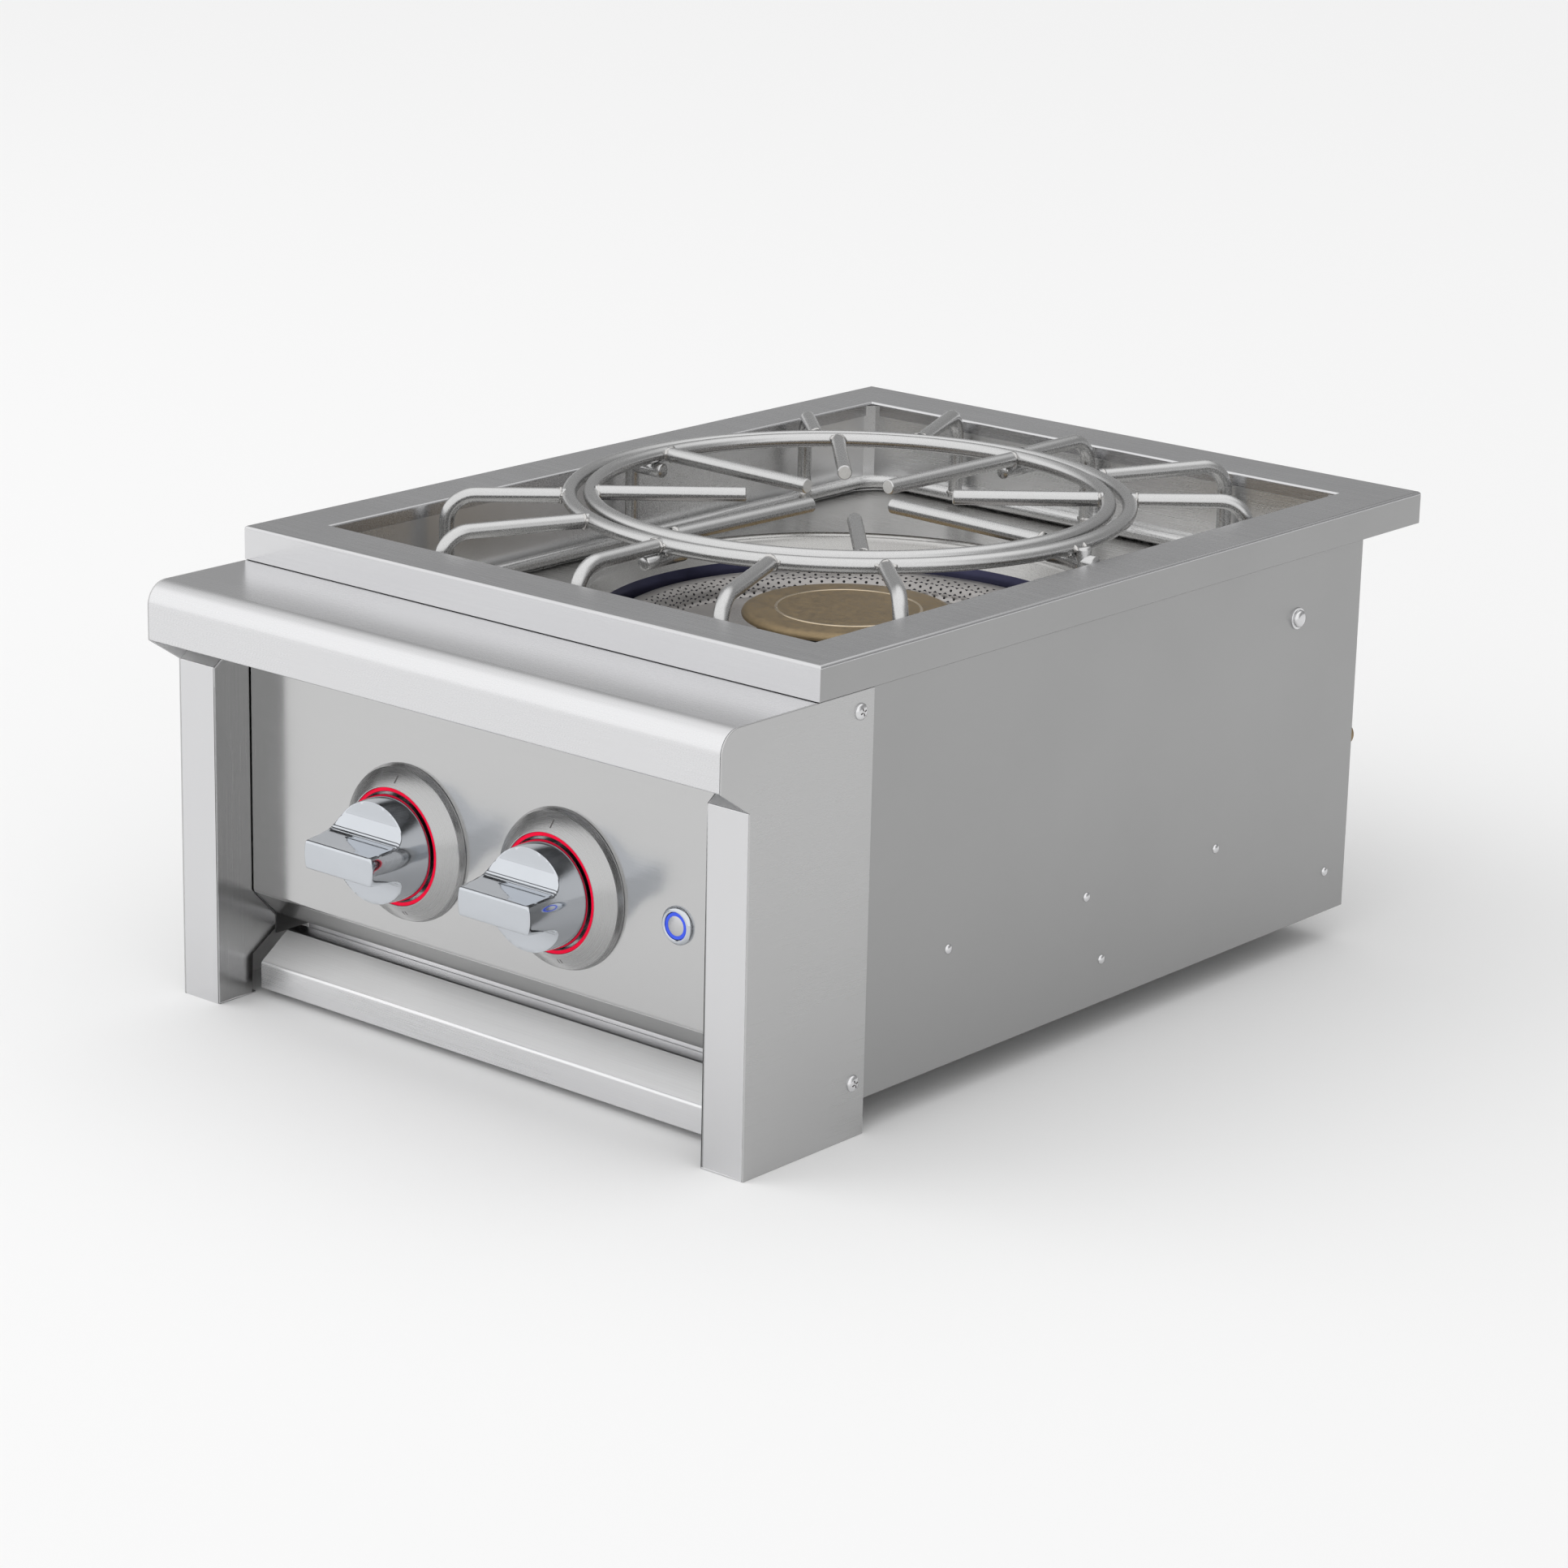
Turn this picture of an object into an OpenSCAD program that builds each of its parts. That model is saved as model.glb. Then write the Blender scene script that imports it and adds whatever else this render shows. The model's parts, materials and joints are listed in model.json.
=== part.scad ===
// Slide-in outdoor gas power burner: a stainless cabinet with an overhanging top frame, a hooded
// front between two pillars, a sunken burner well, a round rod grate and a loose centre ring.
// X runs to the right, Y to the back and Z up. The origin is under the middle of the whole part.
// Inside the modules a place is given as x, d (behind the top frame's front edge) and h (below
// the top frame's top face).

/* [Top frame] */
// Width of the top frame over its skirts
frame_w = 460; // [440:1:480]
// Front-to-back length of the top frame
frame_d = 604; // [580:1:620]
// Height of the frame's skirt
skirt_h = 21; // [18:1:26]
// Width of the flange at each side
side_flange = 36; // [34:1:40]
// Width of the flange at the front
front_flange = 38; // [36:1:44]
// Width of the flange at the back
back_flange = 43; // [40:1:48]
// Thickness of the folded sheet
sheet = 1.2; // [1:0.1:1.2]

/* [Front] */
// Height from the pillar feet to the frame's top
stand_h = 288; // [285:1:295]
// How far the hood's nose stands in front of the frame
hood_reach = 80.5; // [78:0.5:84]
// Depth below the frame's top of the hood's lower edge
hood_low = 57; // [55:1:60]
// Radius of the hood's nose
hood_r = 14.5; // [10:0.5:18]
// How far the pillar faces stand in front of the frame
pillar_reach = 56; // [54:1:60]
// Width of a pillar face
pillar_w = 31.3; // [28:0.2:32]
// How far the control panel stands in front of the frame
panel_reach = 26.7; // [25:0.1:28]

/* [Controls] */
// Sideways distance of each knob from the middle
knob_x = 63; // [60:1:66]
// Depth of the knobs below the frame's top
knob_h = 160; // [155:1:164]
// Sideways place of the push button
button_x = 152.5; // [148:0.5:156]
// How far the knobs stand in front of the frame
knob_reach = 85; // [82:1:90]
// Radius of a knob at its foot
knob_r = 32.6; // [31:0.1:33]
// Travel of a knob when pushed
knob_push = 3; // [2:0.5:3]

/* [Grate] */
// Diameter of the grate's rod
rod = 9.5; // [8:0.5:10]
// Radius of the grate's ring at the rod's middle
ring_r = 176; // [174:0.5:177]
// Radius of the loose centre ring at the rod's middle
inner_r = 162.5; // [161:0.5:163]
// Height of the grate ring's middle above the frame
ring_up = 6.5; // [6:0.5:9]
// Depth of the grate's foot frame below the frame's top
foot_h = 52.5; // [50:0.5:52.5]

/* [Burner] */
// Distance of the burner's middle behind the frame's front edge
burner_d = 304; // [302:1:306]
// Radius of the brass cap
cap_r = 68; // [64:1:70]
// Depth of the brass cap's top
cap_h = 65; // [64:1:67]
// Radius of the perforated bowl's rim
bowl_r = 150; // [146:1:152]

/* [Hidden] */
$fn = 96;

steel = [0.78, 0.78, 0.79];
steel_dark = [0.62, 0.62, 0.63];
rod_colour = [0.70, 0.70, 0.71];
brass = [0.72, 0.58, 0.36];
red = [0.80, 0.03, 0.12];
blue = [0.25, 0.38, 0.90];
black = [0.12, 0.12, 0.12];
white = [0.93, 0.92, 0.88];

// the whole part runs from the knobs' noses to the frame's back edge
front_y = (knob_reach - frame_d) / 2;
well_w = frame_w / 2 - side_flange;
well_front = front_flange;
well_back = frame_d - back_flange;
panel_x = frame_w / 2 - 2;
plate_x = panel_x + sheet;
pillar_x = plate_x - pillar_w;
cabinet_back = 542;
hood_back = 19.5;
recess_x = pillar_x - 0.9;
cabinet_low = 267;
floor_h = foot_h + rod / 2 + 0.4;
foot_w = well_w - 8;
foot_front = well_front + 10;
foot_back = well_back - 5;
foot_bend = 25;
pipe_x = 205;
mixer_h = 140;
mixer_end = 262;
mixer_r = 16;
finger_long = 36;
finger_short = 65;
rest_in = 157;
rest_out = 193;
tray_w = 185;
tray_front_w = 191;
shield_d = 78;
rivet_places = [[393.5, 195], [519, 239], [259, 195], [125, 195], [277, 239]];
cheek_screw_places = [[37, 33.5], [38.5, 254.5]];
bolt_place = [471, 60.5];
pan_head_r = 5;
igniter_x = -50;
lead_x = -108;
igniter_back = burner_d + 60;
leg_in = 3;
leg_side = 183;
leg_front = 112;
leg_turn = 24.5;
side_turn = 46.5;
finger_turn = -2.6;
feet_x = 170;
feet_d = 500;
tray_low = cabinet_low - 2 * sheet - 0.4;

function place(x, d, h) = [x, front_y + d, stand_h - h];
function yz(p) = [front_y + p[0], stand_h - p[1]];
function arc(c, r, a0, a1, n) =
    [for (i = [0:n]) let (a = a0 + (a1 - a0) * i / n) c + r * [cos(a), sin(a)]];

// a box between two values of x, d and h
module slab(x, d, h)
    translate(place(x[0], d[0], h[1])) cube([x[1] - x[0], d[1] - d[0], h[1] - h[0]]);

// a round bar along Y from d[0] to d[1]
module bar_y(x, h, d, r)
    translate(place(x, d[1], h)) rotate([90, 0, 0]) cylinder(h = d[1] - d[0], r = r);

// a round bar along X
module bar_x(x, d, h, r)
    translate(place(x[0], d, h)) rotate([0, 90, 0]) cylinder(h = x[1] - x[0], r = r);

// a round bar along Z from h[0] down to h[1]
module bar_z(x, d, h, r)
    translate(place(x, d, h[1])) cylinder(h = h[1] - h[0], r = r);

// an outline in the side view, given as [d, h] points, made thick along X
module side_cut(x0, thick, points)
    translate([x0, 0, 0]) rotate([90, 0, 90]) linear_extrude(thick)
        polygon([for (p = points) yz(p)]);

// a turned shape whose axis points to the front, from points [radius, reach before the panel]
module turned_front(x, h, points)
    translate(place(x, -panel_reach, h)) rotate([90, 0, 0]) rotate_extrude() polygon(points);

// a turned shape around the burner's axis, from points [radius, h]
module turned_burner(points)
    translate(place(0, burner_d, 0)) rotate_extrude($fn = 144)
        polygon([for (p = points) [p[0], -p[1]]]);

// a bent sheet in the turned view: the points and the same points moved by the thickness
function bent(points, shift) =
    concat(points, [for (i = [len(points) - 1:-1:0]) points[i] + shift]);

module mirrored() mirror([1, 0, 0]) children();

// ---- cabinet ----

module top_frame() color(steel) {
    difference() {
        slab([-frame_w / 2, frame_w / 2], [0, frame_d], [0, skirt_h]);
        slab([-frame_w / 2 + sheet, frame_w / 2 - sheet], [sheet, frame_d - sheet],
            [sheet, skirt_h + 1]);
        slab([-well_w, well_w], [well_front, well_back], [-1, sheet + 1]);
    }
    // the flange's inner edge is folded down into the well
    difference() {
        slab([-well_w - sheet, well_w + sheet], [well_front - sheet, well_back + sheet], [0.5, 9]);
        slab([-well_w, well_w], [well_front, well_back], [-1, 10]);
    }
    // lip that rests on the counter behind the cabinet
    slab([-frame_w / 2 + 1, frame_w / 2 - 1], [frame_d - 14, frame_d - 0.5],
        [skirt_h - sheet + 0.4, skirt_h + 0.4]);
}

module burner_well() color(steel) difference() {
    slab([-well_w - 2 * sheet, well_w + 2 * sheet], [well_front - 2 * sheet,
        well_back + 2 * sheet], [1.4, floor_h + sheet]);
    slab([-well_w - sheet - 0.1, well_w + sheet + 0.1], [well_front - sheet - 0.1,
        well_back + sheet + 0.1], [0, floor_h]);
    bar_z(0, burner_d, [floor_h - 1, floor_h + 3], 172);
}

module spill_bowl() color(steel)
    turned_burner(bent([[178, floor_h + 1.3], [170, floor_h + 1.3], [166, 63], [160, 76],
        [157, 107], [103, 107]], [1.2, 1.2]));

module perforated_bowl() color(steel_dark)
    turned_burner([[bowl_r, 77], [143, 78], [138, 82], [135, 88], [122, 92], [92, 98.6],
        [84, 98.6], [84, 99.8], [92.2, 99.8], [122.6, 93.1], [136, 89], [139.2, 82.6],
        [143.4, 79.1], [bowl_r, 79.1]]);

module right_side_panel() color(steel) difference() {
    union() {
        slab([panel_x - sheet, panel_x], [20, cabinet_back], [skirt_h + 0.3, cabinet_low]);
        slab([panel_x - 15, panel_x], [60, cabinet_back], [cabinet_low - sheet, cabinet_low]);
    }
    translate(place(panel_x - 3, bolt_place[0], bolt_place[1])) rotate([0, 90, 0])
        cylinder(h = 6, r = 3.1);
}
module left_side_panel() mirrored() right_side_panel();

module back_panel() color(steel) difference() {
    slab([-panel_x + sheet, panel_x - sheet], [cabinet_back - sheet, cabinet_back],
        [skirt_h + 0.3, cabinet_low - sheet]);
    slab([-well_w - 4, well_w + 4], [cabinet_back - 5, cabinet_back + 5], [0, floor_h + 3]);
    for (row = [0:5], column = [-3:3])
        slab([column * 46 - 17, column * 46 + 17], [cabinet_back - 5, cabinet_back + 5],
            [88 + row * 11, 92 + row * 11]);
    bar_y(pipe_x, knob_h, [cabinet_back - 5, cabinet_back + 5], 9.1);
}

module bottom_panel() color(steel) difference() {
    slab([-panel_x + sheet, panel_x - sheet], [60, cabinet_back - sheet],
        [cabinet_low - 2 * sheet, cabinet_low - sheet]);
    for (row = [0:3], side = [-1, 1])
        slab([side * 90 - 50, side * 90 + 50], [150 + row * 90, 156 + row * 90],
            [cabinet_low - 5, cabinet_low]);
}

module heat_shield() color(steel) difference() {
    slab([-panel_x + sheet, panel_x - sheet], [shield_d, shield_d + sheet],
        [floor_h + sheet, 240]);
    for (side = [-1, 1]) bar_y(side * knob_x, mixer_h, [shield_d - 3, shield_d + 3], mixer_r + 0.5);
    bar_y(pipe_x, knob_h, [shield_d - 3, shield_d + 3], 5.5);
    bar_y(lead_x, 126, [shield_d - 3, shield_d + 3], 3);
}

module hood() color(steel)
    side_cut(-panel_x, 2 * panel_x, concat([[hood_back, skirt_h + 0.3]],
        [for (p = arc([hood_r - hood_reach, skirt_h + 0.3 + hood_r], hood_r, -90, -180, 12)) p],
        [[-hood_reach, hood_low], [7 - hood_reach, hood_low],
            [7 - hood_reach, hood_low - sheet], [sheet - hood_reach, hood_low - sheet]],
        [for (p = arc([hood_r - hood_reach, skirt_h + 0.3 + hood_r], hood_r - sheet, -180, -90,
            12)) p], [[hood_back, skirt_h + 0.3 + sheet]]));

// flat face, then a slope back to a narrow shelf above the finger gap
module control_panel() color(steel) difference() {
    side_cut(-recess_x, 2 * recess_x, [[-panel_reach, 22.7], [-panel_reach, 221], [-8, 239.7], [4, 239.7],
        [4, 238.5], [-7.5, 238.5], [sheet - panel_reach, 220.5], [sheet - panel_reach, 22.7]]);
    for (side = [-1, 1]) bar_y(side * knob_x, knob_h, [-40, 0], 7);
    bar_y(button_x, knob_h + 1.5, [-40, 0], 9.6);
}

// side plate with the hood's outline, and the folded pillar at its front edge
module right_cheek() color(steel) {
    side_cut(panel_x, sheet, concat(
        [for (p = arc([hood_r - hood_reach, skirt_h + 0.3 + hood_r], hood_r, -90, -180, 12)) p],
        [[-hood_reach, hood_low], [-pillar_reach, 73], [-pillar_reach, stand_h], [49, stand_h],
            [49, skirt_h + 0.3]]));
    slab([pillar_x, plate_x - 0.1], [-pillar_reach, sheet - pillar_reach], [73, stand_h]);
    slab([pillar_x, panel_x + 0.1], [-pillar_reach, -25], [stand_h - sheet, stand_h]);
    side_cut(pillar_x, plate_x - pillar_x - 0.1, [[-pillar_reach, 73], [-40, 62], [-25.2, 62],
        [-25.2, 63.2], [-39.6, 63.2], [-pillar_reach, 74.4]]);
    side_cut(pillar_x, sheet, [[-pillar_reach, 73], [-40, 62], [-25.2, 62], [-25.2, 223], [-8, 241],
        [-8, 250], [-27, 262.1], [-28.2, stand_h], [-pillar_reach, stand_h]]);
}
module left_cheek() mirrored() right_cheek();

module drip_tray() color(steel) {
    // finger rail: face, slope and the fold under it
    side_cut(-tray_front_w, 2 * tray_front_w, [[-panel_reach, 266], [-4, 250], [8, 250],
        [8, 262.5], [6.8, 262.5], [6.8, 251.2], [-4.2, 251.2], [sheet - panel_reach, 267],
        [sheet - panel_reach, 281.8], [-14, 281.8], [-14, 283], [-panel_reach, 283]]);
    difference() {
        slab([-tray_w, tray_w], [8, 500], [246, tray_low]);
        slab([-tray_w + sheet, tray_w - sheet], [8 + sheet, 500 - sheet], [245, tray_low - sheet]);
    }
}

module tray_guides() color(steel_dark) for (side = [0, 1]) mirror([side, 0, 0]) {
    slab([tray_w + 1.2, tray_w + 2.4], [66, 505], [242, cabinet_low - 2 * sheet]);
    slab([tray_w - 8, tray_w + 2.4], [66, 505], [242, 243.2]);
}

// levelling feet under the back of the cabinet
module rear_feet() color(black) for (side = [-1, 1]) {
    bar_z(side * feet_x, feet_d, [cabinet_low - sheet, stand_h - 5], 4);
    bar_z(side * feet_x, feet_d, [stand_h - 5.5, stand_h], 14);
}

// ---- controls ----

module bezel(x) color(steel)
    turned_front(x, knob_h, [[7, 0], [48.5, 0], [48.5, 1.2], [46.8, 4.8], [36.4, 12.8], [36, 12.8],
        [36, 3], [7, 3]]);
module left_bezel() bezel(-knob_x);
module right_bezel() bezel(knob_x);

module light_ring(x) color(red)
    turned_front(x, knob_h, [[33.5, 3.1], [35.9, 3.1], [35.9, 12.4], [33.5, 12.4]]);
module left_light_ring() light_ring(-knob_x);
module right_light_ring() light_ring(knob_x);

// side outlines of the two cuts that leave the level grip bar, as [reach, distance from the axis]
upper_cut = [[70, 8.2], [58, 8.5], [50, 9.2], [44, 9.8], [39, 10.5], [35.5, 11.8], [33, 14.4],
    [31.4, 17.4], [30.2, 20], [29.6, 24], [29.4, 28], [29.4, 45], [70, 45]];
lower_cut = [[70, 8.6], [58, 8.8], [50, 9.1], [43, 9.6], [38, 10.4], [34.5, 12.4], [32.4, 15],
    [31.2, 19], [30.7, 24], [30.4, 28], [30.4, 45], [70, 45]];

// tapered round body with a deep scoop above and a shallower one below the grip bar
module knob(x) color(steel) difference() {
    nose = knob_reach - panel_reach;
    turned_front(x, knob_h, [[0, 13], [knob_r - 1, 13], [knob_r, 14], [28.4, nose - 1.2],
        [27.2, nose], [0, nose]]);
    side_cut(x - 50, 100, [for (p = upper_cut) [-panel_reach - p[0], knob_h - p[1]]]);
    side_cut(x - 50, 100, [for (p = lower_cut) [-panel_reach - p[0], knob_h + p[1]]]);
    turned_front(x, knob_h, [[0, 12], [4.1, 12], [4.1, 26], [0, 26]]);
}
module left_knob() knob(-knob_x);
module right_knob() knob(knob_x);

module stem(x) color(steel_dark)
    turned_front(x, knob_h, [[0, -28], [3, -28], [3, -24], [4, -23], [4, 25.9], [0, 25.9]]);
module left_stem() stem(-knob_x);
module right_stem() stem(knob_x);

// the plug turns in the valve body, and the stem slides in the plug
module valve_plug(x) color(brass)
    turned_front(x, knob_h, [[4.08, -8], [7.4, -8], [7.4, -40], [0, -40], [0, -38], [4.08, -38]]);
module left_valve_plug() valve_plug(-knob_x);
module right_valve_plug() valve_plug(knob_x);

spring_turns = 4;
function coil(x) = [for (i = [0:12 * spring_turns]) let (a = i * 30)
    place(x, 1.9 + 8.7 * i / (12 * spring_turns), knob_h) + 2.9 * [cos(a), 0, sin(a)]];

// return spring behind the stem: a round wire swept along a helix
module valve_spring(x) color(steel_dark) {
    path = coil(x);
    n = len(path);
    rim = [for (i = [0:n - 1]) let (a = i * 30) for (k = [0:5])
        path[i] + 0.45 * (cos(k * 60) * [cos(a), 0, sin(a)] + sin(k * 60) * [0, 1, 0])];
    polyhedron(rim, concat([[for (k = [0:5]) k]], [[for (k = [5:-1:0]) (n - 1) * 6 + k]],
        [for (i = [0:n - 2], k = [0:5]) [i * 6 + k, (i + 1) * 6 + k, (i + 1) * 6 + (k + 1) % 6,
            i * 6 + (k + 1) % 6]]));
}
module left_spring() valve_spring(-knob_x);
module right_spring() valve_spring(knob_x);

module valve_body(x) color(brass) {
    turned_front(x, knob_h, [[5, -4], [11, -4], [11, -46], [0, -46], [0, -41], [7.48, -41],
        [7.48, -7.6], [5, -7.6]]);
    slab([x - 7, x + 7], [-20, 2], [mixer_h - 6, knob_h - 9.5]);
    bar_y(x, mixer_h, [0, 40], 4.5);
}
module left_valve_body() valve_body(-knob_x);
module right_valve_body() valve_body(knob_x);

module orifice(x) color(brass) difference() {
    union() {
        bar_y(x, mixer_h, [40, 46], 6);
        bar_y(x, mixer_h, [45.5, 52], 4);
    }
    bar_y(x, mixer_h, [39, 53], 0.9);
}
module left_orifice() orifice(-knob_x);
module right_orifice() orifice(knob_x);

module gas_manifold() color(steel_dark) difference() {
    slab([-95, pipe_x + 8], [19.5, 38.5], [knob_h - 9.5, knob_h + 9.5]);
    slab([-93, pipe_x + 6], [21.5, 36.5], [knob_h - 7.5, knob_h + 7.5]);
}

module gas_pipe() color(steel_dark) difference() {
    bar_y(pipe_x, knob_h, [38.6, cabinet_back - 2], 5);
    bar_y(pipe_x, knob_h, [38, cabinet_back], 4);
}

// flare fitting at the back for the gas supply
module gas_inlet() color(brass) difference() {
    union() {
        bar_y(pipe_x, knob_h, [cabinet_back - 2, cabinet_back + 4], 9);
        translate(place(pipe_x, cabinet_back + 10, knob_h)) rotate([90, 0, 0])
            cylinder(h = 8, r = 11, $fn = 6);
        bar_y(pipe_x, knob_h, [cabinet_back + 9.9, cabinet_back + 26], 7.9);
    }
    bar_y(pipe_x, knob_h, [cabinet_back - 3, cabinet_back + 27], 4.8);
}

module button_housing() color(steel)
    turned_front(button_x, knob_h + 1.5, [[8.2, -26], [9.4, -26], [9.4, 0], [11.5, 0],
        [11.5, 1.2], [9.9, 3], [8.2, 3]]);

module button_nut() color(steel_dark) difference() {
    translate(place(button_x, -panel_reach + 5.2, knob_h + 1.5)) rotate([90, 0, 0])
        cylinder(h = 4, r = 13.5, $fn = 6);
    bar_y(button_x, knob_h + 1.5, [-40, 0], 9.45);
}

module button_cap() color(steel) {
    turned_front(button_x, knob_h + 1.5, [[0, -20], [7.9, -20], [7.9, 1.6], [5.9, 1.6],
        [5.9, 2.4], [0, 2.4]]);
}

module button_switch() color(black)
    turned_front(button_x, knob_h + 1.5, [[0, -30], [8.1, -30], [8.1, -22.5], [0, -22.5]]);

module button_lead() color(black) {
    bar_y(button_x, knob_h + 1.5, [3.3, 13.2], 1.2);
    bar_z(button_x, 12, [knob_h + 0.5, 178], 1.2);
}

module button_light() color(blue)
    turned_front(button_x, knob_h + 1.5, [[6, 1.7], [7.8, 1.7], [7.8, 2.5], [6, 2.5]]);

module ignition_module() color(black) {
    slab([130, 190], [2, 46], [178, 215]);
    slab([148, 156], [46, 54], [188, 200]);
}

// ---- burner ----

module mixer_tube(x) color(steel_dark) {
    difference() {
        union() {
            bar_y(x, mixer_h, [60, mixer_end], mixer_r);
            bar_z(x, mixer_end, [112.1, mixer_h + mixer_r - 0.1], mixer_r);
            translate(place(x, 60, mixer_h)) rotate([90, 0, 0]) cylinder(h = 4, r = 21);
        }
        bar_y(x, mixer_h, [50, mixer_end + 5], mixer_r - 1.5);
        bar_z(x, mixer_end, [110, mixer_h + 8], mixer_r - 1.5);
    }
}
module left_mixer_tube() mixer_tube(-knob_x);
module right_mixer_tube() mixer_tube(knob_x);

// slotted collar around the mixer's mouth, locked by its own screw
module air_shutter(x) color(steel) difference() {
    bar_y(x, mixer_h, [61, 72], mixer_r + 1.6);
    bar_y(x, mixer_h, [60, 73], mixer_r + 0.1);
    for (turn = [0:3]) translate(place(x, 66, mixer_h)) rotate([0, turn * 90, 0])
        translate([-4, -3, 0]) cube([8, 6, 30]);
}
module left_air_shutter() air_shutter(-knob_x);
module right_air_shutter() air_shutter(knob_x);

module burner_body() color(black) difference() {
    turned_burner([[0, 112], [100, 112], [100, 104], [94, 100], [58, 100], [58, 78], [62, 72],
        [62, 70.6], [0, 70.6]]);
    turned_burner([[0, 109], [52, 109], [52, 73], [0, 73]]);
    for (side = [-1, 1]) bar_z(side * knob_x, mixer_end, [103, 113], mixer_r - 2);
    for (port = [0:17]) translate(place(0, burner_d, 82)) rotate([0, 0, port * 20])
        translate([45, 0, 0]) rotate([0, 90, 0]) cylinder(h = 20, r = 1.3, $fn = 16);
    bar_z(igniter_x, igniter_back, [95, 115], 3.3);
}

module burner_bracket() color(steel_dark) {
    slab([-panel_x + sheet, panel_x - sheet], [burner_d - 15, burner_d + 15], [112.1, 114]);
    for (side = [-1, 1]) slab([side * (panel_x - 2.2) - 1, side * (panel_x - 2.2) + 1],
        [burner_d - 15, burner_d + 15], [113.9, 140]);
}

module burner_cap() color(brass) difference() {
    turned_burner([[0, cap_h], [47.5, cap_h], [48, cap_h + 0.8], [64, cap_h + 0.8],
        [cap_r, cap_h + 3], [cap_r, cap_h + 5.2], [0, cap_h + 5.2]]);
    turned_burner([[45.5, cap_h - 1], [46.8, cap_h - 1], [46.8, cap_h + 0.6],
        [45.5, cap_h + 0.6]]);
}

module igniter() {
    color(white) bar_z(igniter_x, igniter_back, [80, 122], 3.2);
    color(steel) bar_z(igniter_x, igniter_back, [73, 80.5], 1);
}

// insulated lead from the igniter to the module, clipped under the well
module igniter_lead() color(red) {
    bar_z(igniter_x, igniter_back, [122, 127.4], 1.4);
    bar_x([lead_x, igniter_x + 1.2], igniter_back, 126, 1.4);
    bar_y(lead_x, 126, [-12, igniter_back + 1.2], 1.4);
    bar_z(lead_x, -12, [124.8, 196.2], 1.4);
    bar_x([lead_x, 136.2], -12, 195, 1.4);
    bar_y(135, 195, [-13.2, 2], 1.4);
}

// ---- grate ----

module rod_ring(radius, up) translate(place(0, burner_d - 2, -up))
    rotate_extrude($fn = 144) translate([radius, 0]) circle(d = rod, $fn = 24);

// a leg leaves the ring at p, runs level to the wall at q and bends down to the foot frame
module leg(p, q) {
    run = norm(q - p);
    bend = 18;
    translate(place(p[0], p[1], -ring_up)) rotate([0, 0, atan2(q[1] - p[1], q[0] - p[0])]) {
        rotate([0, 90, 0]) cylinder(h = run - bend, d = rod, $fn = 24);
        translate([run - bend, 0, -bend]) rotate([90, 0, 0]) rotate_extrude(angle = 90)
            translate([bend, 0]) circle(d = rod, $fn = 24);
        translate([run, 0, -ring_up - foot_h]) cylinder(h = ring_up + foot_h - bend, d = rod,
            $fn = 24);
    }
}

function on_ring(a) = [(ring_r + rod / 2 - 1) * cos(a), burner_d - 2 + (ring_r + rod / 2 - 1)
    * sin(a)];

module grate_ring() color(rod_colour) rod_ring(ring_r, ring_up);

module grate_legs() color(rod_colour) for (sy = [-1, 1]) {
    end = sy > 0 ? foot_back - leg_in : foot_front + leg_in;
    leg(on_ring(sy * 90), [0, end]);
    for (sx = [-1, 1]) {
        leg(on_ring(sy * (90 - sx * leg_turn)), [sx * leg_front, end]);
        leg(on_ring(sy * (90 - sx * side_turn)), [sx * leg_side, burner_d - 2 + sy * 174]);
    }
}

module grate_foot() color(rod_colour) {
    flat = foot_bend;
    for (side = [-1, 1]) {
        translate(place(side * foot_w, foot_back - flat, foot_h)) rotate([90, 0, 0])
            cylinder(h = foot_back - foot_front - 2 * flat, d = rod, $fn = 24);
        translate(place(flat - foot_w, side > 0 ? foot_back : foot_front, foot_h))
            rotate([0, 90, 0]) cylinder(h = 2 * (foot_w - flat), d = rod, $fn = 24);
        // short upright from the foot to the ring at the narrow sides
        translate(place(side * (foot_w - 2), burner_d - 2, foot_h))
            cylinder(h = foot_h + ring_up - 2, d = rod, $fn = 24);
        for (back = [0, 1]) translate(place(side * (foot_w - flat),
            back ? foot_back - flat : foot_front + flat, foot_h))
            rotate([0, 0, side > 0 ? (back ? 0 : -90) : (back ? 90 : 180)])
            rotate_extrude(angle = 90) translate([flat, 0]) circle(d = rod, $fn = 24);
    }
}

// short rods under the ring that carry the loose centre ring
module grate_rests() color(rod_colour) for (turn = [0:3])
    translate(place(0, burner_d - 2, 0.3 + rod - ring_up - 1.3)) rotate([0, 90, turn * 90])
        translate([0, 0, rest_in]) cylinder(h = rest_out - rest_in, d = rod, $fn = 24);

module centre_ring() color(rod_colour) rod_ring(inner_r, ring_up + 1.3);

module centre_fingers() color(rod_colour) for (turn = [0:7]) {
    inner_end = turn % 2 == 0 ? finger_long : finger_short;
    translate(place(0, burner_d - 2, -ring_up - 1.3))
        rotate([0, 90, turn * 45 + finger_turn])
        translate([0, 0, inner_end]) cylinder(h = inner_r - 2 - inner_end, d = rod, $fn = 24);
}

// ---- fasteners ----

module pan_screw() difference() {
    union() {
        translate([-2, 0, 0]) rotate([0, 90, 0]) cylinder(h = 2.01, r = 1.1);
        rotate([0, 90, 0]) rotate_extrude() polygon([[0, 0], [pan_head_r, 0],
            [pan_head_r, 0.8], [4, 1.9], [2.5, 2.3], [0, 2.3]]);
    }
    for (turn = [0, 90]) rotate([turn, 0, 0]) translate([1.2, -2.4, -0.45]) cube([2, 4.8, 0.9]);
}

module cheek_screws() color(steel) for (side = [0, 1]) mirror([side, 0, 0])
    for (p = cheek_screw_places) translate(place(plate_x, p[0], p[1])) pan_screw();

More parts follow.
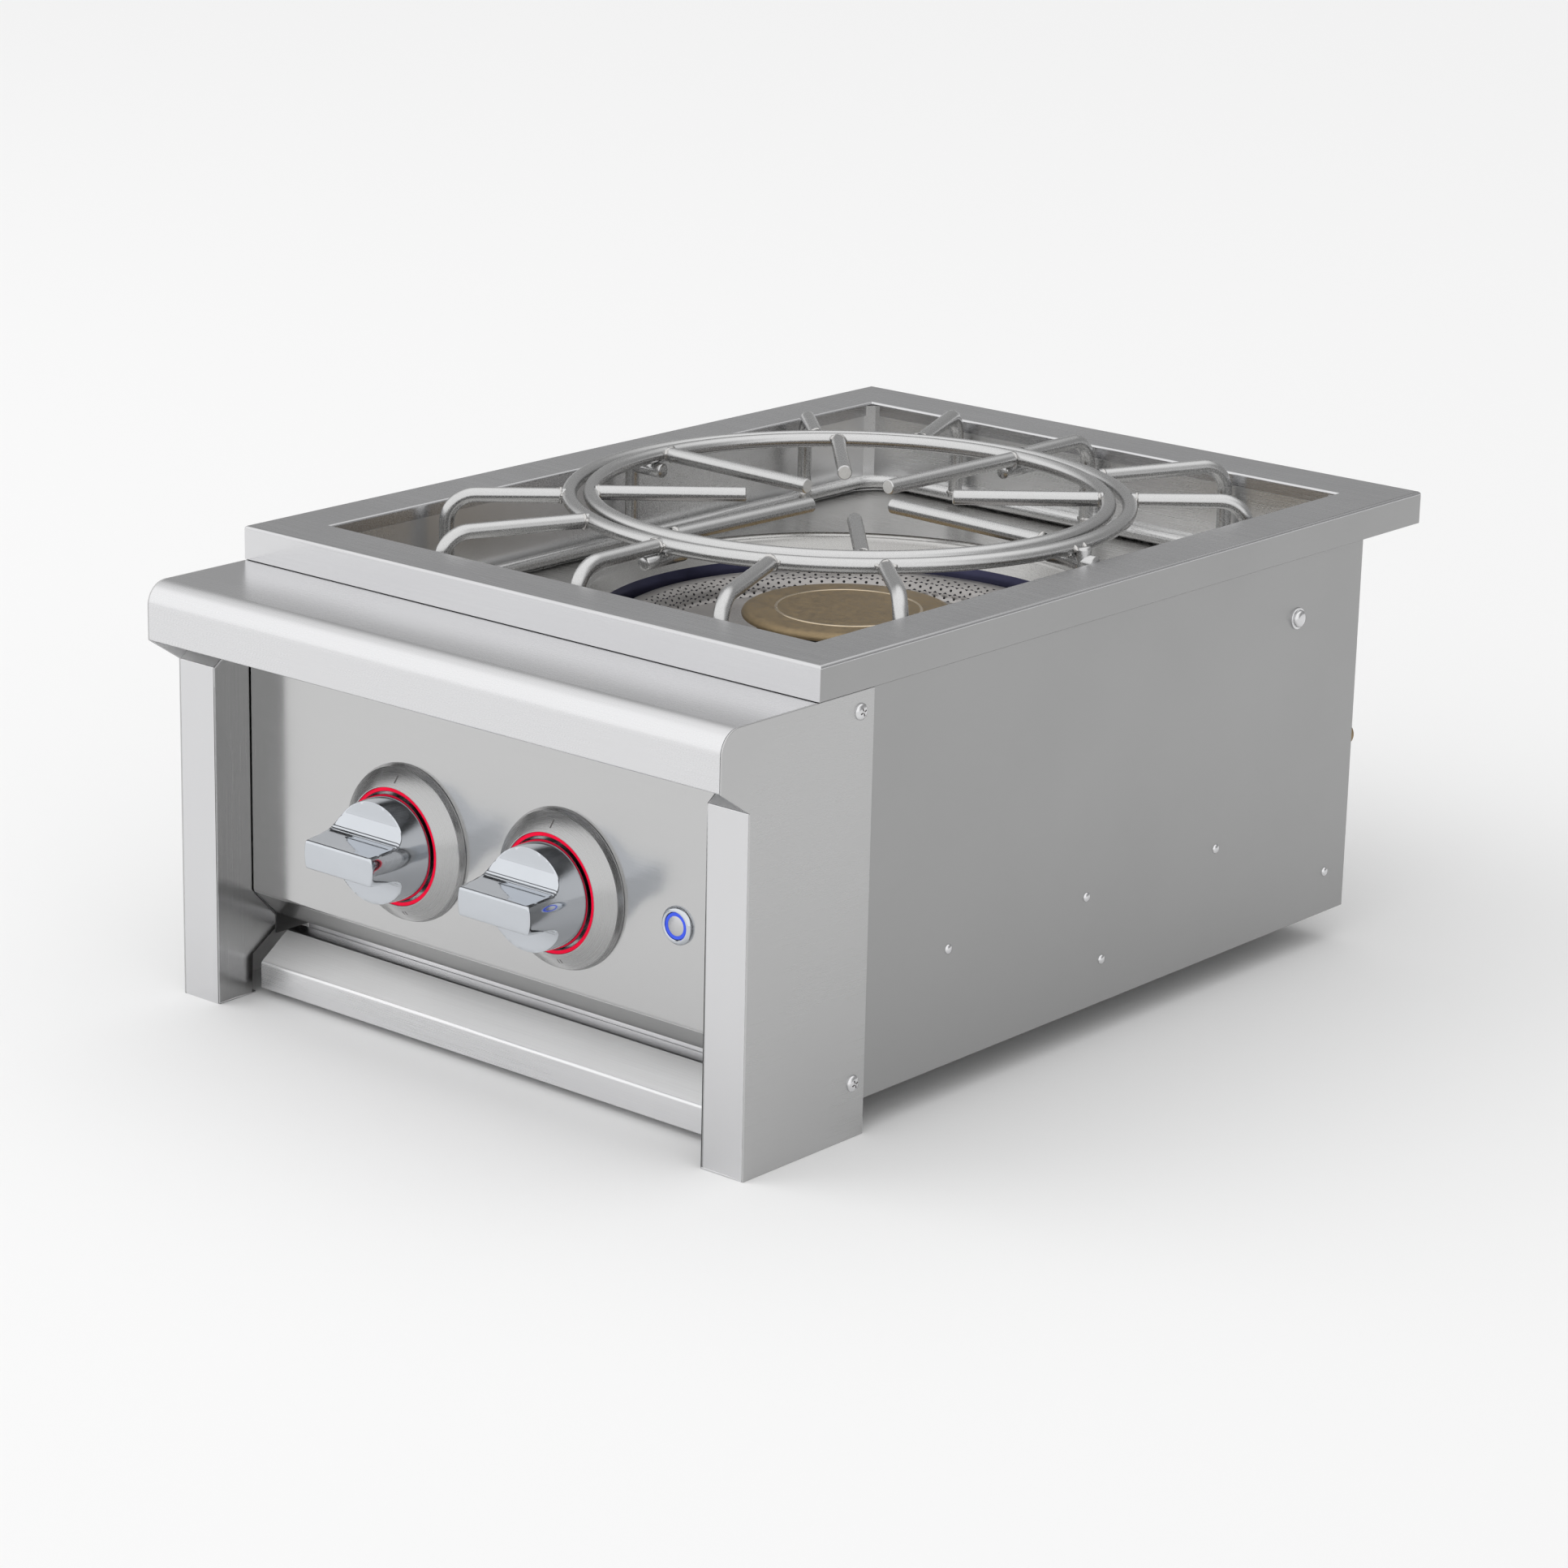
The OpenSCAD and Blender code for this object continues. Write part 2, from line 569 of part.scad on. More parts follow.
module side_bolts() color(steel) for (side = [0, 1]) mirror([side, 0, 0])
    translate(place(panel_x, bolt_place[0], bolt_place[1])) {
        rotate([0, 90, 0]) rotate_extrude() polygon([[0, 0], [7, 0], [7, 0.9], [5.4, 2.9],
            [3, 3.9], [0, 4.1]]);
        translate([-6, 0, 0]) rotate([0, 90, 0]) cylinder(h = 6.01, r = 3);
    }

module side_rivets() color(steel) for (side = [0, 1]) mirror([side, 0, 0])
    for (p = rivet_places) translate(place(panel_x, p[0], p[1])) rotate([0, 90, 0])
        rotate_extrude() polygon([[0, 0], [3.1, 0], [2.6, 1], [1.4, 1.5], [0, 1.6]]);

top_frame();
burner_well();
spill_bowl();
perforated_bowl();
left_side_panel();
right_side_panel();
back_panel();
bottom_panel();
heat_shield();
hood();
control_panel();
left_cheek();
right_cheek();
left_bezel();
right_bezel();
left_light_ring();
right_light_ring();
left_valve_body();
right_valve_body();
left_valve_plug();
right_valve_plug();
left_stem();
right_stem();
left_spring();
right_spring();
left_knob();
right_knob();
gas_manifold();
gas_pipe();
gas_inlet();
left_orifice();
right_orifice();
left_mixer_tube();
right_mixer_tube();
left_air_shutter();
right_air_shutter();
burner_body();
burner_bracket();
burner_cap();
igniter();
igniter_lead();
ignition_module();
button_housing();
button_nut();
button_switch();
button_lead();
button_cap();
button_light();
drip_tray();
tray_guides();
rear_feet();
grate_ring();
grate_legs();
grate_foot();
grate_rests();
centre_ring();
centre_fingers();
cheek_screws();
side_bolts();
side_rivets();
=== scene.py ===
import json
import math

import bmesh
import bpy
import numpy as np
from mathutils import Matrix, Vector


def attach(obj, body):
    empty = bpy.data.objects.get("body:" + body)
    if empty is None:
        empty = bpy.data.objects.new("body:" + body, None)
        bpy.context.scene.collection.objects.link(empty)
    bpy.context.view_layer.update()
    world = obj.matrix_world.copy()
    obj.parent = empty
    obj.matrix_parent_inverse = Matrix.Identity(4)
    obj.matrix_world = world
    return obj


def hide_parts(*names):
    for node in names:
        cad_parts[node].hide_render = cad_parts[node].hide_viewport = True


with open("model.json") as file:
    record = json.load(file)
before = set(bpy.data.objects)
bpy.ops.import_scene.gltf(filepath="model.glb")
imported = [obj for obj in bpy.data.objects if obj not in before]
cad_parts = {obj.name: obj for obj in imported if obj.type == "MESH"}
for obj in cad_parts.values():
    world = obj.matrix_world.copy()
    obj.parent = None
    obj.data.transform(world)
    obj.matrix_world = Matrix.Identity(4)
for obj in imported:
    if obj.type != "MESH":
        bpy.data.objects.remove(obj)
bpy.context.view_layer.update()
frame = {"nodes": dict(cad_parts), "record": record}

MM = 0.001
FRONT = -259.5   # y of the top frame's front edge, mm
TOP = 288.0      # z of the top frame's top face, mm
BURNER = 304.0   # the burner's middle behind the front edge
GRATE = 302.0    # the grate's middle behind the front edge
TAU = 2 * math.pi

# d of: the control panel's face, the pillars' front, the hood's front
PANEL, PILLAR, HOOD = -26.7, -56.0, -80.5
# x of: the pillars' inner face, the cheeks' inner face (on the body's side), their outer face
PILLAR_IN, CHEEK_IN, CHEEK_OUT = 197.9, 228.0, 229.2
KNOB_X, KNOB_H = 63.0, 160.0      # the knobs' axes
BUTTON_X, BUTTON_H = 152.5, 161.5
RING_R, CENTRE_R = 176.0, 162.5   # the grate's ring and the loose centre ring


# ---------------------------------------------------------------- materials

def nodes_of(name):
    m = bpy.data.materials.new(name)
    m.use_nodes = True
    nt = m.node_tree
    return m, nt, nt.nodes["Principled BSDF"]


def link(nt, a, out, b, inp):
    nt.links.new(a.outputs[out], b.inputs[inp])


def noise(nt, scale, stretch=(1, 1, 1), detail=3.0, rough=0.55):
    tc = nt.nodes.new("ShaderNodeTexCoord")
    mp = nt.nodes.new("ShaderNodeMapping")
    mp.inputs["Scale"].default_value = stretch
    nz = nt.nodes.new("ShaderNodeTexNoise")
    nz.inputs["Scale"].default_value = scale
    nz.inputs["Detail"].default_value = detail
    nz.inputs["Roughness"].default_value = rough
    link(nt, tc, "Object", mp, "Vector")
    link(nt, mp, "Vector", nz, "Vector")
    return nz


def remap(nt, src, out, lo, hi, from_lo=0.3, from_hi=0.7):
    mr = nt.nodes.new("ShaderNodeMapRange")
    mr.inputs["From Min"].default_value = from_lo
    mr.inputs["From Max"].default_value = from_hi
    mr.inputs["To Min"].default_value = lo
    mr.inputs["To Max"].default_value = hi
    link(nt, src, out, mr, "Value")
    return mr


def ramp(nt, src, out, c0, c1):
    cr = nt.nodes.new("ShaderNodeValToRGB")
    cr.color_ramp.elements[0].position = 0.3
    cr.color_ramp.elements[0].color = (*c0, 1)
    cr.color_ramp.elements[1].position = 0.7
    cr.color_ramp.elements[1].color = (*c1, 1)
    link(nt, src, out, cr, "Fac")
    return cr


def bump(nt, bsdf, src, out, strength, dist):
    b = nt.nodes.new("ShaderNodeBump")
    b.inputs["Strength"].default_value = strength
    b.inputs["Distance"].default_value = dist
    link(nt, src, out, b, "Height")
    link(nt, b, "Normal", bsdf, "Normal")


GRAIN = {"x": (12, 2400, 2400), "y": (2400, 12, 2400), "z": (2400, 2400, 12)}


def brushed(name, grain, colour, rough, spread=0.06, contrast=0.04, relief=0.12, cloud=0.03):
    """Straight-grained stainless: fine streaks in roughness, tone and relief, and faint clouds."""
    m, nt, b = nodes_of(name)
    b.inputs["Metallic"].default_value = 1.0
    fine = noise(nt, 1.0, GRAIN[grain], 4.0, 0.65)
    soft = noise(nt, 9.0, (1, 1, 1), 3.0, 0.5)
    mix = nt.nodes.new("ShaderNodeMath")
    mix.operation = "ADD"
    link(nt, remap(nt, fine, "Fac", rough - spread, rough + spread), "Result", mix, 0)
    link(nt, remap(nt, soft, "Fac", -cloud, cloud), "Result", mix, 1)
    link(nt, mix, "Value", b, "Roughness")
    lo = tuple(c * (1 - contrast) for c in colour)
    hi = tuple(min(1, c * (1 + contrast)) for c in colour)
    link(nt, ramp(nt, fine, "Fac", lo, hi), "Color", b, "Base Color")
    bump(nt, b, fine, "Fac", relief, 0.00008)
    return m


def plain_metal(name, colour, rough, scale=60.0, spread=0.04, contrast=0.06, relief=0.05):
    m, nt, b = nodes_of(name)
    b.inputs["Metallic"].default_value = 1.0
    n = noise(nt, scale, (1, 1, 1), 5.0, 0.6)
    link(nt, remap(nt, n, "Fac", max(0.01, rough - spread), rough + spread), "Result",
         b, "Roughness")
    lo = tuple(c * (1 - contrast) for c in colour)
    hi = tuple(min(1, c * (1 + contrast)) for c in colour)
    link(nt, ramp(nt, n, "Fac", lo, hi), "Color", b, "Base Color")
    bump(nt, b, n, "Fac", relief, 0.0002)
    return m


def turned(name, colour, rough, centre, axis):
    """Lathe-turned steel: rings around an axis, from the distance to it."""
    m, nt, b = nodes_of(name)
    b.inputs["Metallic"].default_value = 1.0
    tc = nt.nodes.new("ShaderNodeTexCoord")
    mp = nt.nodes.new("ShaderNodeMapping")
    mp.inputs["Location"].default_value = [-c for c in centre]
    flat = nt.nodes.new("ShaderNodeVectorMath")
    flat.operation = "MULTIPLY"
    flat.inputs[1].default_value = [0 if i == axis else 1 for i in range(3)]
    length = nt.nodes.new("ShaderNodeVectorMath")
    length.operation = "LENGTH"
    nz = nt.nodes.new("ShaderNodeTexNoise")
    nz.noise_dimensions = "1D"
    nz.inputs["Scale"].default_value = 2600.0
    nz.inputs["Detail"].default_value = 3.0
    link(nt, tc, "Object", mp, "Vector")
    link(nt, mp, "Vector", flat, 0)
    link(nt, flat, "Vector", length, 0)
    link(nt, length, "Value", nz, "W")
    link(nt, remap(nt, nz, "Fac", rough - 0.06, rough + 0.08), "Result", b, "Roughness")
    lo = tuple(c * 0.93 for c in colour)
    link(nt, ramp(nt, nz, "Fac", lo, colour), "Color", b, "Base Color")
    bump(nt, b, nz, "Fac", 0.10, 0.00006)
    return m


def solid(name, colour, rough, scale=120.0, contrast=0.1, relief=0.15):
    m, nt, b = nodes_of(name)
    n = noise(nt, scale, (1, 1, 1), 4.0, 0.6)
    lo = tuple(c * (1 - contrast) for c in colour)
    hi = tuple(min(1, c * (1 + contrast)) for c in colour)
    link(nt, ramp(nt, n, "Fac", lo, hi), "Color", b, "Base Color")
    link(nt, remap(nt, n, "Fac", max(0.02, rough - 0.05), rough + 0.05), "Result", b, "Roughness")
    bump(nt, b, n, "Fac", relief, 0.0003)
    return m


def glowing(name, colour, light, strength):
    m, nt, b = nodes_of(name)
    n = noise(nt, 90.0, (1, 1, 1), 2.0, 0.5)
    dim = tuple(c * 0.8 for c in light)
    link(nt, ramp(nt, n, "Fac", dim, light), "Color", b, "Emission Color")
    b.inputs["Base Color"].default_value = (*colour, 1)
    b.inputs["Emission Strength"].default_value = strength
    b.inputs["Roughness"].default_value = 0.5
    b.inputs["Specular IOR Level"].default_value = 0.1
    return m


# one sheet may carry several of these; some are lighter or darker copies of the same steel for the
# faces that the studio light brightens or leaves in shade: painted light and painted shade
FRAME_STEEL_X = brushed("frame_steel_x", "x", (0.62, 0.62, 0.63), 0.26, 0.05, 0.05, 0.08)
SKIRT_PAINTED_LIGHT_STEEL = brushed("skirt_steel_painted_light", "x", (0.69, 0.69, 0.70), 0.20, 0.04, 0.02, 0.03)
HOOD_STEEL = brushed("hood_steel", "x", (0.71, 0.71, 0.72), 0.27, 0.03, 0.015, 0.03)
PANEL_STEEL = brushed("panel_steel", "x", (0.56, 0.56, 0.56), 0.19, 0.03, 0.02, 0.05, 0.05)
PILLAR_STEEL = brushed("pillar_steel", "z", (0.68, 0.68, 0.69), 0.20, 0.05, 0.02, 0.08)
INNER_PAINTED_SHADE_STEEL = brushed("pillar_inner_steel_painted_shade", "z", (0.39, 0.39, 0.39), 0.24, 0.05, 0.06, 0.15)
SIDE_PAINTED_SHADE_STEEL = brushed("side_steel_painted_shade", "y", (0.39, 0.39, 0.39), 0.36, 0.04, 0.015, 0.05)
CHEEK_STEEL = brushed("cheek_steel", "y", (0.52, 0.52, 0.52), 0.30, 0.04, 0.015, 0.05)
TRAY_STEEL = brushed("tray_steel", "x", (0.80, 0.80, 0.81), 0.30, 0.05, 0.03, 0.08, 0.05)
FLOOR_PAINTED_SHADE_STEEL = brushed("well_floor_steel_painted_shade", "x", (0.50, 0.495, 0.485), 0.27, 0.05, 0.02, 0.04, 0.05)
SLOPE_PAINTED_LIGHT_STEEL = brushed("slope_steel_painted_light", "x", (0.97, 0.97, 0.97), 0.58, 0.05, 0.03, 0.08, 0.05)
FOLD_PAINTED_SHADE_STEEL = brushed("fold_steel_painted_shade", "x", (0.26, 0.26, 0.26), 0.32, 0.04, 0.02, 0.05)
WELL_WALL_PAINTED_LIGHT_STEEL = brushed("well_wall_steel_painted_light", "x", (0.88, 0.88, 0.88), 0.29, 0.05, 0.02, 0.04, 0.05)
ROD_STEEL = plain_metal("rod_steel", (0.56, 0.56, 0.56), 0.27, 1400.0, 0.06, 0.08, 0.05)
CUT_STEEL = plain_metal("cut_steel", (0.86, 0.86, 0.85), 0.60, 600.0, 0.05, 0.06, 0.08)
WELD_STEEL = plain_metal("weld_steel", (0.55, 0.54, 0.53), 0.28, 500.0, 0.06, 0.08, 0.08)
CHROME = plain_metal("chrome", (0.58, 0.605, 0.64), 0.06, 30.0, 0.02, 0.02, 0.02)
BOLT_STEEL = plain_metal("bolt_steel", (0.70, 0.70, 0.71), 0.20, 200.0, 0.05, 0.05, 0.10)
BRASS_LINE = plain_metal("brass_line", (0.62, 0.52, 0.38), 0.30)
BRASS = plain_metal("brass", (0.31, 0.235, 0.14), 0.46, 240.0, 0.08, 0.16, 0.20)
ZINC = plain_metal("zinc", (0.55, 0.55, 0.56), 0.40, 90.0, 0.08, 0.12, 0.15)
TINTED = plain_metal("tinted_steel", (0.05, 0.05, 0.09), 0.38, 20.0, 0.10, 0.30, 0.10)
BOWL_STEEL = plain_metal("bowl_steel", (0.40, 0.385, 0.375), 0.32, 25.0, 0.08, 0.10, 0.05)
RED_LIGHT = glowing("red_light", (0.12, 0.0, 0.005), (0.80, 0.003, 0.04), 1.0)
BLUE_LIGHT = glowing("blue_light", (0.02, 0.03, 0.12), (0.06, 0.12, 0.90), 0.85)
# black iron; the same material blacks the perforated bowl's hole walls, which is painted shade in
# the holes
IRON_AND_HOLE_SHADE = solid("black_iron", (0.05, 0.05, 0.05), 0.7)
PLASTIC = solid("black_plastic", (0.03, 0.03, 0.03), 0.5)
CERAMIC = solid("ceramic", (0.85, 0.84, 0.80), 0.15)
LEAD = solid("lead_rubber", (0.45, 0.04, 0.02), 0.5)
# ink of the bezel marks; the same material fills the screw slots, which is painted shade in the
# slots
INK_AND_SLOT_SHADE = solid("engraved_mark_and_slot_shade", (0.10, 0.09, 0.09), 0.6)

BY_SLOT = {"brushed_steel": SIDE_PAINTED_SHADE_STEEL, "polished_steel": BOLT_STEEL, "rod_steel": ROD_STEEL,
           "knob_chrome": CHROME, "red_light": RED_LIGHT, "blue_light": BLUE_LIGHT,
           "brass": BRASS, "tinted_steel": TINTED, "zinc_steel": ZINC, "black_iron": IRON_AND_HOLE_SHADE,
           "ceramic": CERAMIC, "black_plastic": PLASTIC, "lead": LEAD}
SLOT = {s["node"]: s["material_slot"] for s in frame["record"]["subparts"]}
for cad_name, cad in frame["nodes"].items():
    cad.data.materials.clear()
    cad.data.materials.append(BY_SLOT[SLOT[cad_name]])


# ---------------------------------------------------------------- mesh tools

def place(x, d, h):
    return (x, FRONT + d, TOP - h)


def drill(ob, holes, smooth):
    """Round bores through a sheet from the front: holes are (x, h, radius)."""
    n = 64
    cut = Soup()
    for x, h, r in holes:
        ring = [(x + r * math.cos(TAU * j / n), h + r * math.sin(TAU * j / n)) for j in range(n)]
        v = [place(a, d, b) for d in (-40, -10) for a, b in ring]
        f = [tuple(range(n)), tuple(range(2 * n - 1, n - 1, -1))]
        f += [(j, (j + 1) % n, n + (j + 1) % n, n + j) for j in range(n)]
        cut.add(v, f)
    me = bpy.data.meshes.new("bores")
    me.from_pydata([Vector(p) * MM for p in cut.v], [], cut.f)
    bm = bmesh.new()
    bm.from_mesh(me)
    bmesh.ops.recalc_face_normals(bm, faces=bm.faces)
    bm.to_mesh(me)
    bm.free()
    tool = bpy.data.objects.new("bores", me)
    bpy.context.scene.collection.objects.link(tool)
    mod = ob.modifiers.new("bores", "BOOLEAN")
    mod.object, mod.operation, mod.solver = tool, "DIFFERENCE", "EXACT"
    done = bpy.data.meshes.new_from_object(
        ob.evaluated_get(bpy.context.evaluated_depsgraph_get()))
    ob.modifiers.remove(mod)
    ob.data = done
    done.name = ob.name
    done.set_sharp_from_angle(angle=math.radians(smooth))
    bpy.data.objects.remove(tool)
    bpy.data.meshes.remove(me)


class Soup:
    """Vertices in mm and faces with a material number each."""

    def __init__(self):
        self.v, self.f, self.m = [], [], []

    def add(self, verts, faces, mat=0):
        k = len(self.v)
        self.v += [tuple(p) for p in verts]
        self.f += [tuple(i + k for i in f) for f in faces]
        self.m += [mat] * len(faces)
        return self

    def grid(self, rows, closed_u=False, closed_v=False, mat=0):
        """rows of equal length, joined row to row; closed_u closes each row."""
        n, w = len(rows), len(rows[0])
        faces = []
        for i in range(n if closed_v else n - 1):
            for j in range(w if closed_u else w - 1):
                a, b = i * w + j, i * w + (j + 1) % w
                c, e = ((i + 1) % n) * w + (j + 1) % w, ((i + 1) % n) * w + j
                faces.append((a, b, c, e))
        return self.add([p for r in rows for p in r], faces, mat)

    def box(self, x, d, h, mat=0):
        """a box between two values of x, d and h"""
        p = [place(a, b, c) for a in x for b in d for c in h]
        return self.add(p, [(0, 1, 3, 2), (4, 6, 7, 5), (0, 4, 5, 1), (2, 3, 7, 6),
                            (0, 2, 6, 4), (1, 5, 7, 3)], mat)

    def outline(self, points, x0, x1, mat=0):
        """a closed side-view outline of [d, h] points made thick along X"""
        n = len(points)
        v = [place(x0, *p) for p in points] + [place(x1, *p) for p in points]
        f = [tuple(range(n)), tuple(range(2 * n - 1, n - 1, -1))]
        f += [(i, (i + 1) % n, n + (i + 1) % n, n + i) for i in range(n)]
        return self.add(v, f, mat)

    def build(self, name, mats, body, replaces=(), slot=None, smooth=35.0, bevel=0.0, seg=2,
              weld=True, flat=False, holes=()):
        me = bpy.data.meshes.new(name)
        me.from_pydata([Vector(p) * MM for p in self.v], [], self.f)
        for mat in mats if isinstance(mats, (list, tuple)) else [mats]:
            me.materials.append(mat)
        for p, k in zip(me.polygons, self.m):
            p.material_index = k
        bm = bmesh.new()
        bm.from_mesh(me)
        if weld:
            bmesh.ops.remove_doubles(bm, verts=bm.verts, dist=1e-6)
        bmesh.ops.recalc_face_normals(bm, faces=bm.faces)
        bm.to_mesh(me)
        bm.free()
        me.polygons.foreach_set("use_smooth", [True] * len(me.polygons))
        me.set_sharp_from_angle(angle=math.radians(smooth))
        ob = bpy.data.objects.new(name, me)
        bpy.context.scene.collection.objects.link(ob)
        if holes:
            drill(ob, holes, smooth)
        if bevel:
            bv = ob.modifiers.new("edges", "BEVEL")
            bv.width, bv.segments = bevel * MM, seg
            bv.limit_method, bv.angle_limit = "ANGLE", math.radians(40)
            bv.harden_normals = not flat
        if flat:
            wn = ob.modifiers.new("flat_faces", "WEIGHTED_NORMAL")
            wn.keep_sharp = True
        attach(ob, body)
        if replaces:
            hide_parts(*replaces)
        return ob


def middle(soup, face, axis):
    """a face's mean x, y or z"""
    return sum(soup.v[k][axis] for k in face) / len(face)


def arc(c, r, a0, a1, n=8):
    """points [d, h] on an arc; angles in degrees, h grows downwards"""
    return [(c[0] + r * math.cos(math.radians(a0 + (a1 - a0) * i / n)),
             c[1] + r * math.sin(math.radians(a0 + (a1 - a0) * i / n))) for i in range(n + 1)]


def rounded(points, radii, n=6):
    """a polygon with its corners rounded"""
    out = []
    k = len(points)
    for i, (p, r) in enumerate(zip(points, radii)):
        p = Vector(p)
        if r <= 0:
            out.append(tuple(p))
            continue
        a, b = Vector(points[i - 1]) - p, Vector(points[(i + 1) % k]) - p
        half = a.angle(b) / 2
        cut = r / math.tan(half)
        a.normalize(), b.normalize()
        c = p + (a + b).normalized() * (r / math.sin(half))
        s, e = p + a * cut - c, p + b * cut - c
        turn = s.angle_signed(e)
        for j in range(n + 1):
            t = -turn * j / n
            out.append((c.x + s.x * math.cos(t) - s.y * math.sin(t),
                        c.y + s.x * math.sin(t) + s.y * math.cos(t)))
    return out


def circle_row(r, h, n):
    """a level circle around the burner's axis"""
    return [place(r * math.cos(TAU * j / n), BURNER + r * math.sin(TAU * j / n), h)
            for j in range(n)]


def lathe_up(soup, points, n, mat=0):
    """turned around the burner's axis, from points [radius, h]"""
    return soup.grid([circle_row(r, h, n) for r, h in points], closed_u=True, mat=mat)


def lathe_front(soup, x, h, points, n=128, mat=0, close=False):
    """turned around an axis that points to the front, from points [radius, reach]"""
    rows = [[(x + r * math.cos(TAU * j / n), FRONT + PANEL - t, TOP - h + r * math.sin(TAU * j / n))
             for j in range(n)] for r, t in points]
    return soup.grid(rows, closed_u=True, closed_v=close, mat=mat)


def tube(soup, path, r, n=20, ends=(True, True), mat=0, chamfer=0.6, cut=None):
    """a round rod along a path of points in mm"""
    P = [Vector(p) for p in path]
    T = []
    for i in range(len(P)):
        a = P[i] - P[i - 1] if i else P[1] - P[0]
        b = P[i + 1] - P[i] if i < len(P) - 1 else P[-1] - P[-2]
        T.append((a.normalized() + b.normalized()).normalized())
    up = Vector((0, 0, 1)) if abs(T[0].z) < 0.9 else Vector((1, 0, 0))
    side = T[0].cross(up).normalized()
    rings = []
    for i, (p, t) in enumerate(zip(P, T)):
        side = (side - t * side.dot(t)).normalized()
        other = t.cross(side)
        rings.append((p, side.copy(), other, r))
    out = []
    for k, (p, s, o, rr) in enumerate(rings):
        if k == 0 and ends[0]:
            out.append((p, s, o, rr - chamfer))
            out.append((p + T[0] * chamfer, s, o, rr))
        elif k == len(rings) - 1 and ends[1]:
            out.append((p - T[-1] * chamfer, s, o, rr))
            out.append((p, s, o, rr - chamfer))
        else:
            out.append((p, s, o, rr))
    rows = [[p + (s * math.cos(TAU * j / n) + o * math.sin(TAU * j / n)) * rr for j in range(n)]
            for p, s, o, rr in out]
    base = len(soup.v)
    soup.grid(rows, closed_u=True, mat=mat)
    cut = mat if cut is None else cut
    if ends[0]:
        soup.add([], [tuple(base - len(soup.v) + j for j in range(n))], cut)
    if ends[1]:
        soup.add([], [tuple(base + (len(rows) - 1) * n - len(soup.v) + j
                            for j in reversed(range(n)))], cut)
    return soup


def blob(soup, at, axis, size, seed, mat=0, n=14, m=8):
    """a weld bead: a lumpy squashed ball; axis is its short direction"""
    rng = np.random.default_rng(abs(seed))
    ph = rng.uniform(0, TAU, 6)
    a = Vector(axis).normalized()
    s = a.cross(Vector((0.3, 0.2, 1))).normalized()
    o = a.cross(s)
    rows = []
    for i in range(m + 1):
        el = math.pi * i / m
        row = []
        for j in range(n):
            az = TAU * j / n
            k = 1 + 0.10 * math.sin(3 * az + ph[0]) * math.sin(el) + 0.07 * math.sin(
                5 * az + ph[1] + 2 * el) + 0.05 * math.cos(4 * el + ph[2])
            row.append(Vector(at) + k * (a * (size[0] * math.cos(el))
                       + s * (size[1] * math.sin(el) * math.cos(az))
                       + o * (size[2] * math.sin(el) * math.sin(az))))
        rows.append(row)
    return soup.grid(rows, closed_u=True, mat=mat)


# ---------------------------------------------------------------- top frame and well

WELL = (-194.0, 194.0, 38.0, 561.0)      # x and d of the opening
OUTER = (-230.0, 230.0, 0.0, 604.0)


def rect_ring(points):
    """rows around a rectangle: points are (anchor, outward offset from it, h)"""
    rows = []
    for anchor, off, h in points:
        x0, x1, d0, d1 = anchor
        rows.append([place(x0 - off, d0 - off, h), place(x1 + off, d0 - off, h),
                     place(x1 + off, d1 + off, h), place(x0 - off, d1 + off, h)])
    return rows


OUT_BEND, IN_BEND = 2.0, 1.6              # radii of the folds at the skirt and at the well
frame_edge = [(OUTER, 0, 21), (OUTER, 0, OUT_BEND)]
for t in (18, 36, 54, 72):
    frame_edge.append((OUTER, -OUT_BEND + OUT_BEND * math.cos(math.radians(t)),
                       OUT_BEND - OUT_BEND * math.sin(math.radians(t))))
frame_edge += [(OUTER, -OUT_BEND, 0), (WELL, IN_BEND, 0)]
for t in (22, 45, 67):
    frame_edge.append((WELL, IN_BEND - IN_BEND * math.sin(math.radians(t)),
                       IN_BEND - IN_BEND * math.cos(math.radians(t))))
frame_edge += [(WELL, 0, 1.6), (WELL, 0, 9), (WELL, 1.2, 9), (WELL, 1.2, 1.9), (OUTER, -1.2, 1.9),
               (OUTER, -1.2, 21)]
s = Soup()
s.grid(rect_ring(frame_edge), closed_u=True, closed_v=True)
s.box((-229, 229), (590, 602.5), (20.2, 21.4))
s.m[0] = 1                        # the front skirt's outer face takes a lighter copy of the steel: painted light
s.m[1] = s.m[3] = 2               # the side skirts' outer faces take a darker copy of the steel: painted shade
s.build("top_frame_sheet", [FRAME_STEEL_X, SKIRT_PAINTED_LIGHT_STEEL, SIDE_PAINTED_SHADE_STEEL], "cabinet", ["top_frame"],
        "brushed_steel", 50, 0.35, 2, flat=True)


def round_rect(x0, x1, d0, d1, r, n=24):
    """a rounded rectangle as points (x, d), starting at the middle of the right side"""
    out = []
    for cx, cd, a in ((x1 - r, d1 - r, 0), (x0 + r, d1 - r, 90), (x0 + r, d0 + r, 180),
                      (x1 - r, d0 + r, 270)):
        for i in range(n + 1):
            t = math.radians(a + 90 * i / n)
            out.append((cx + r * math.cos(t), cd + r * math.sin(t)))
    return out


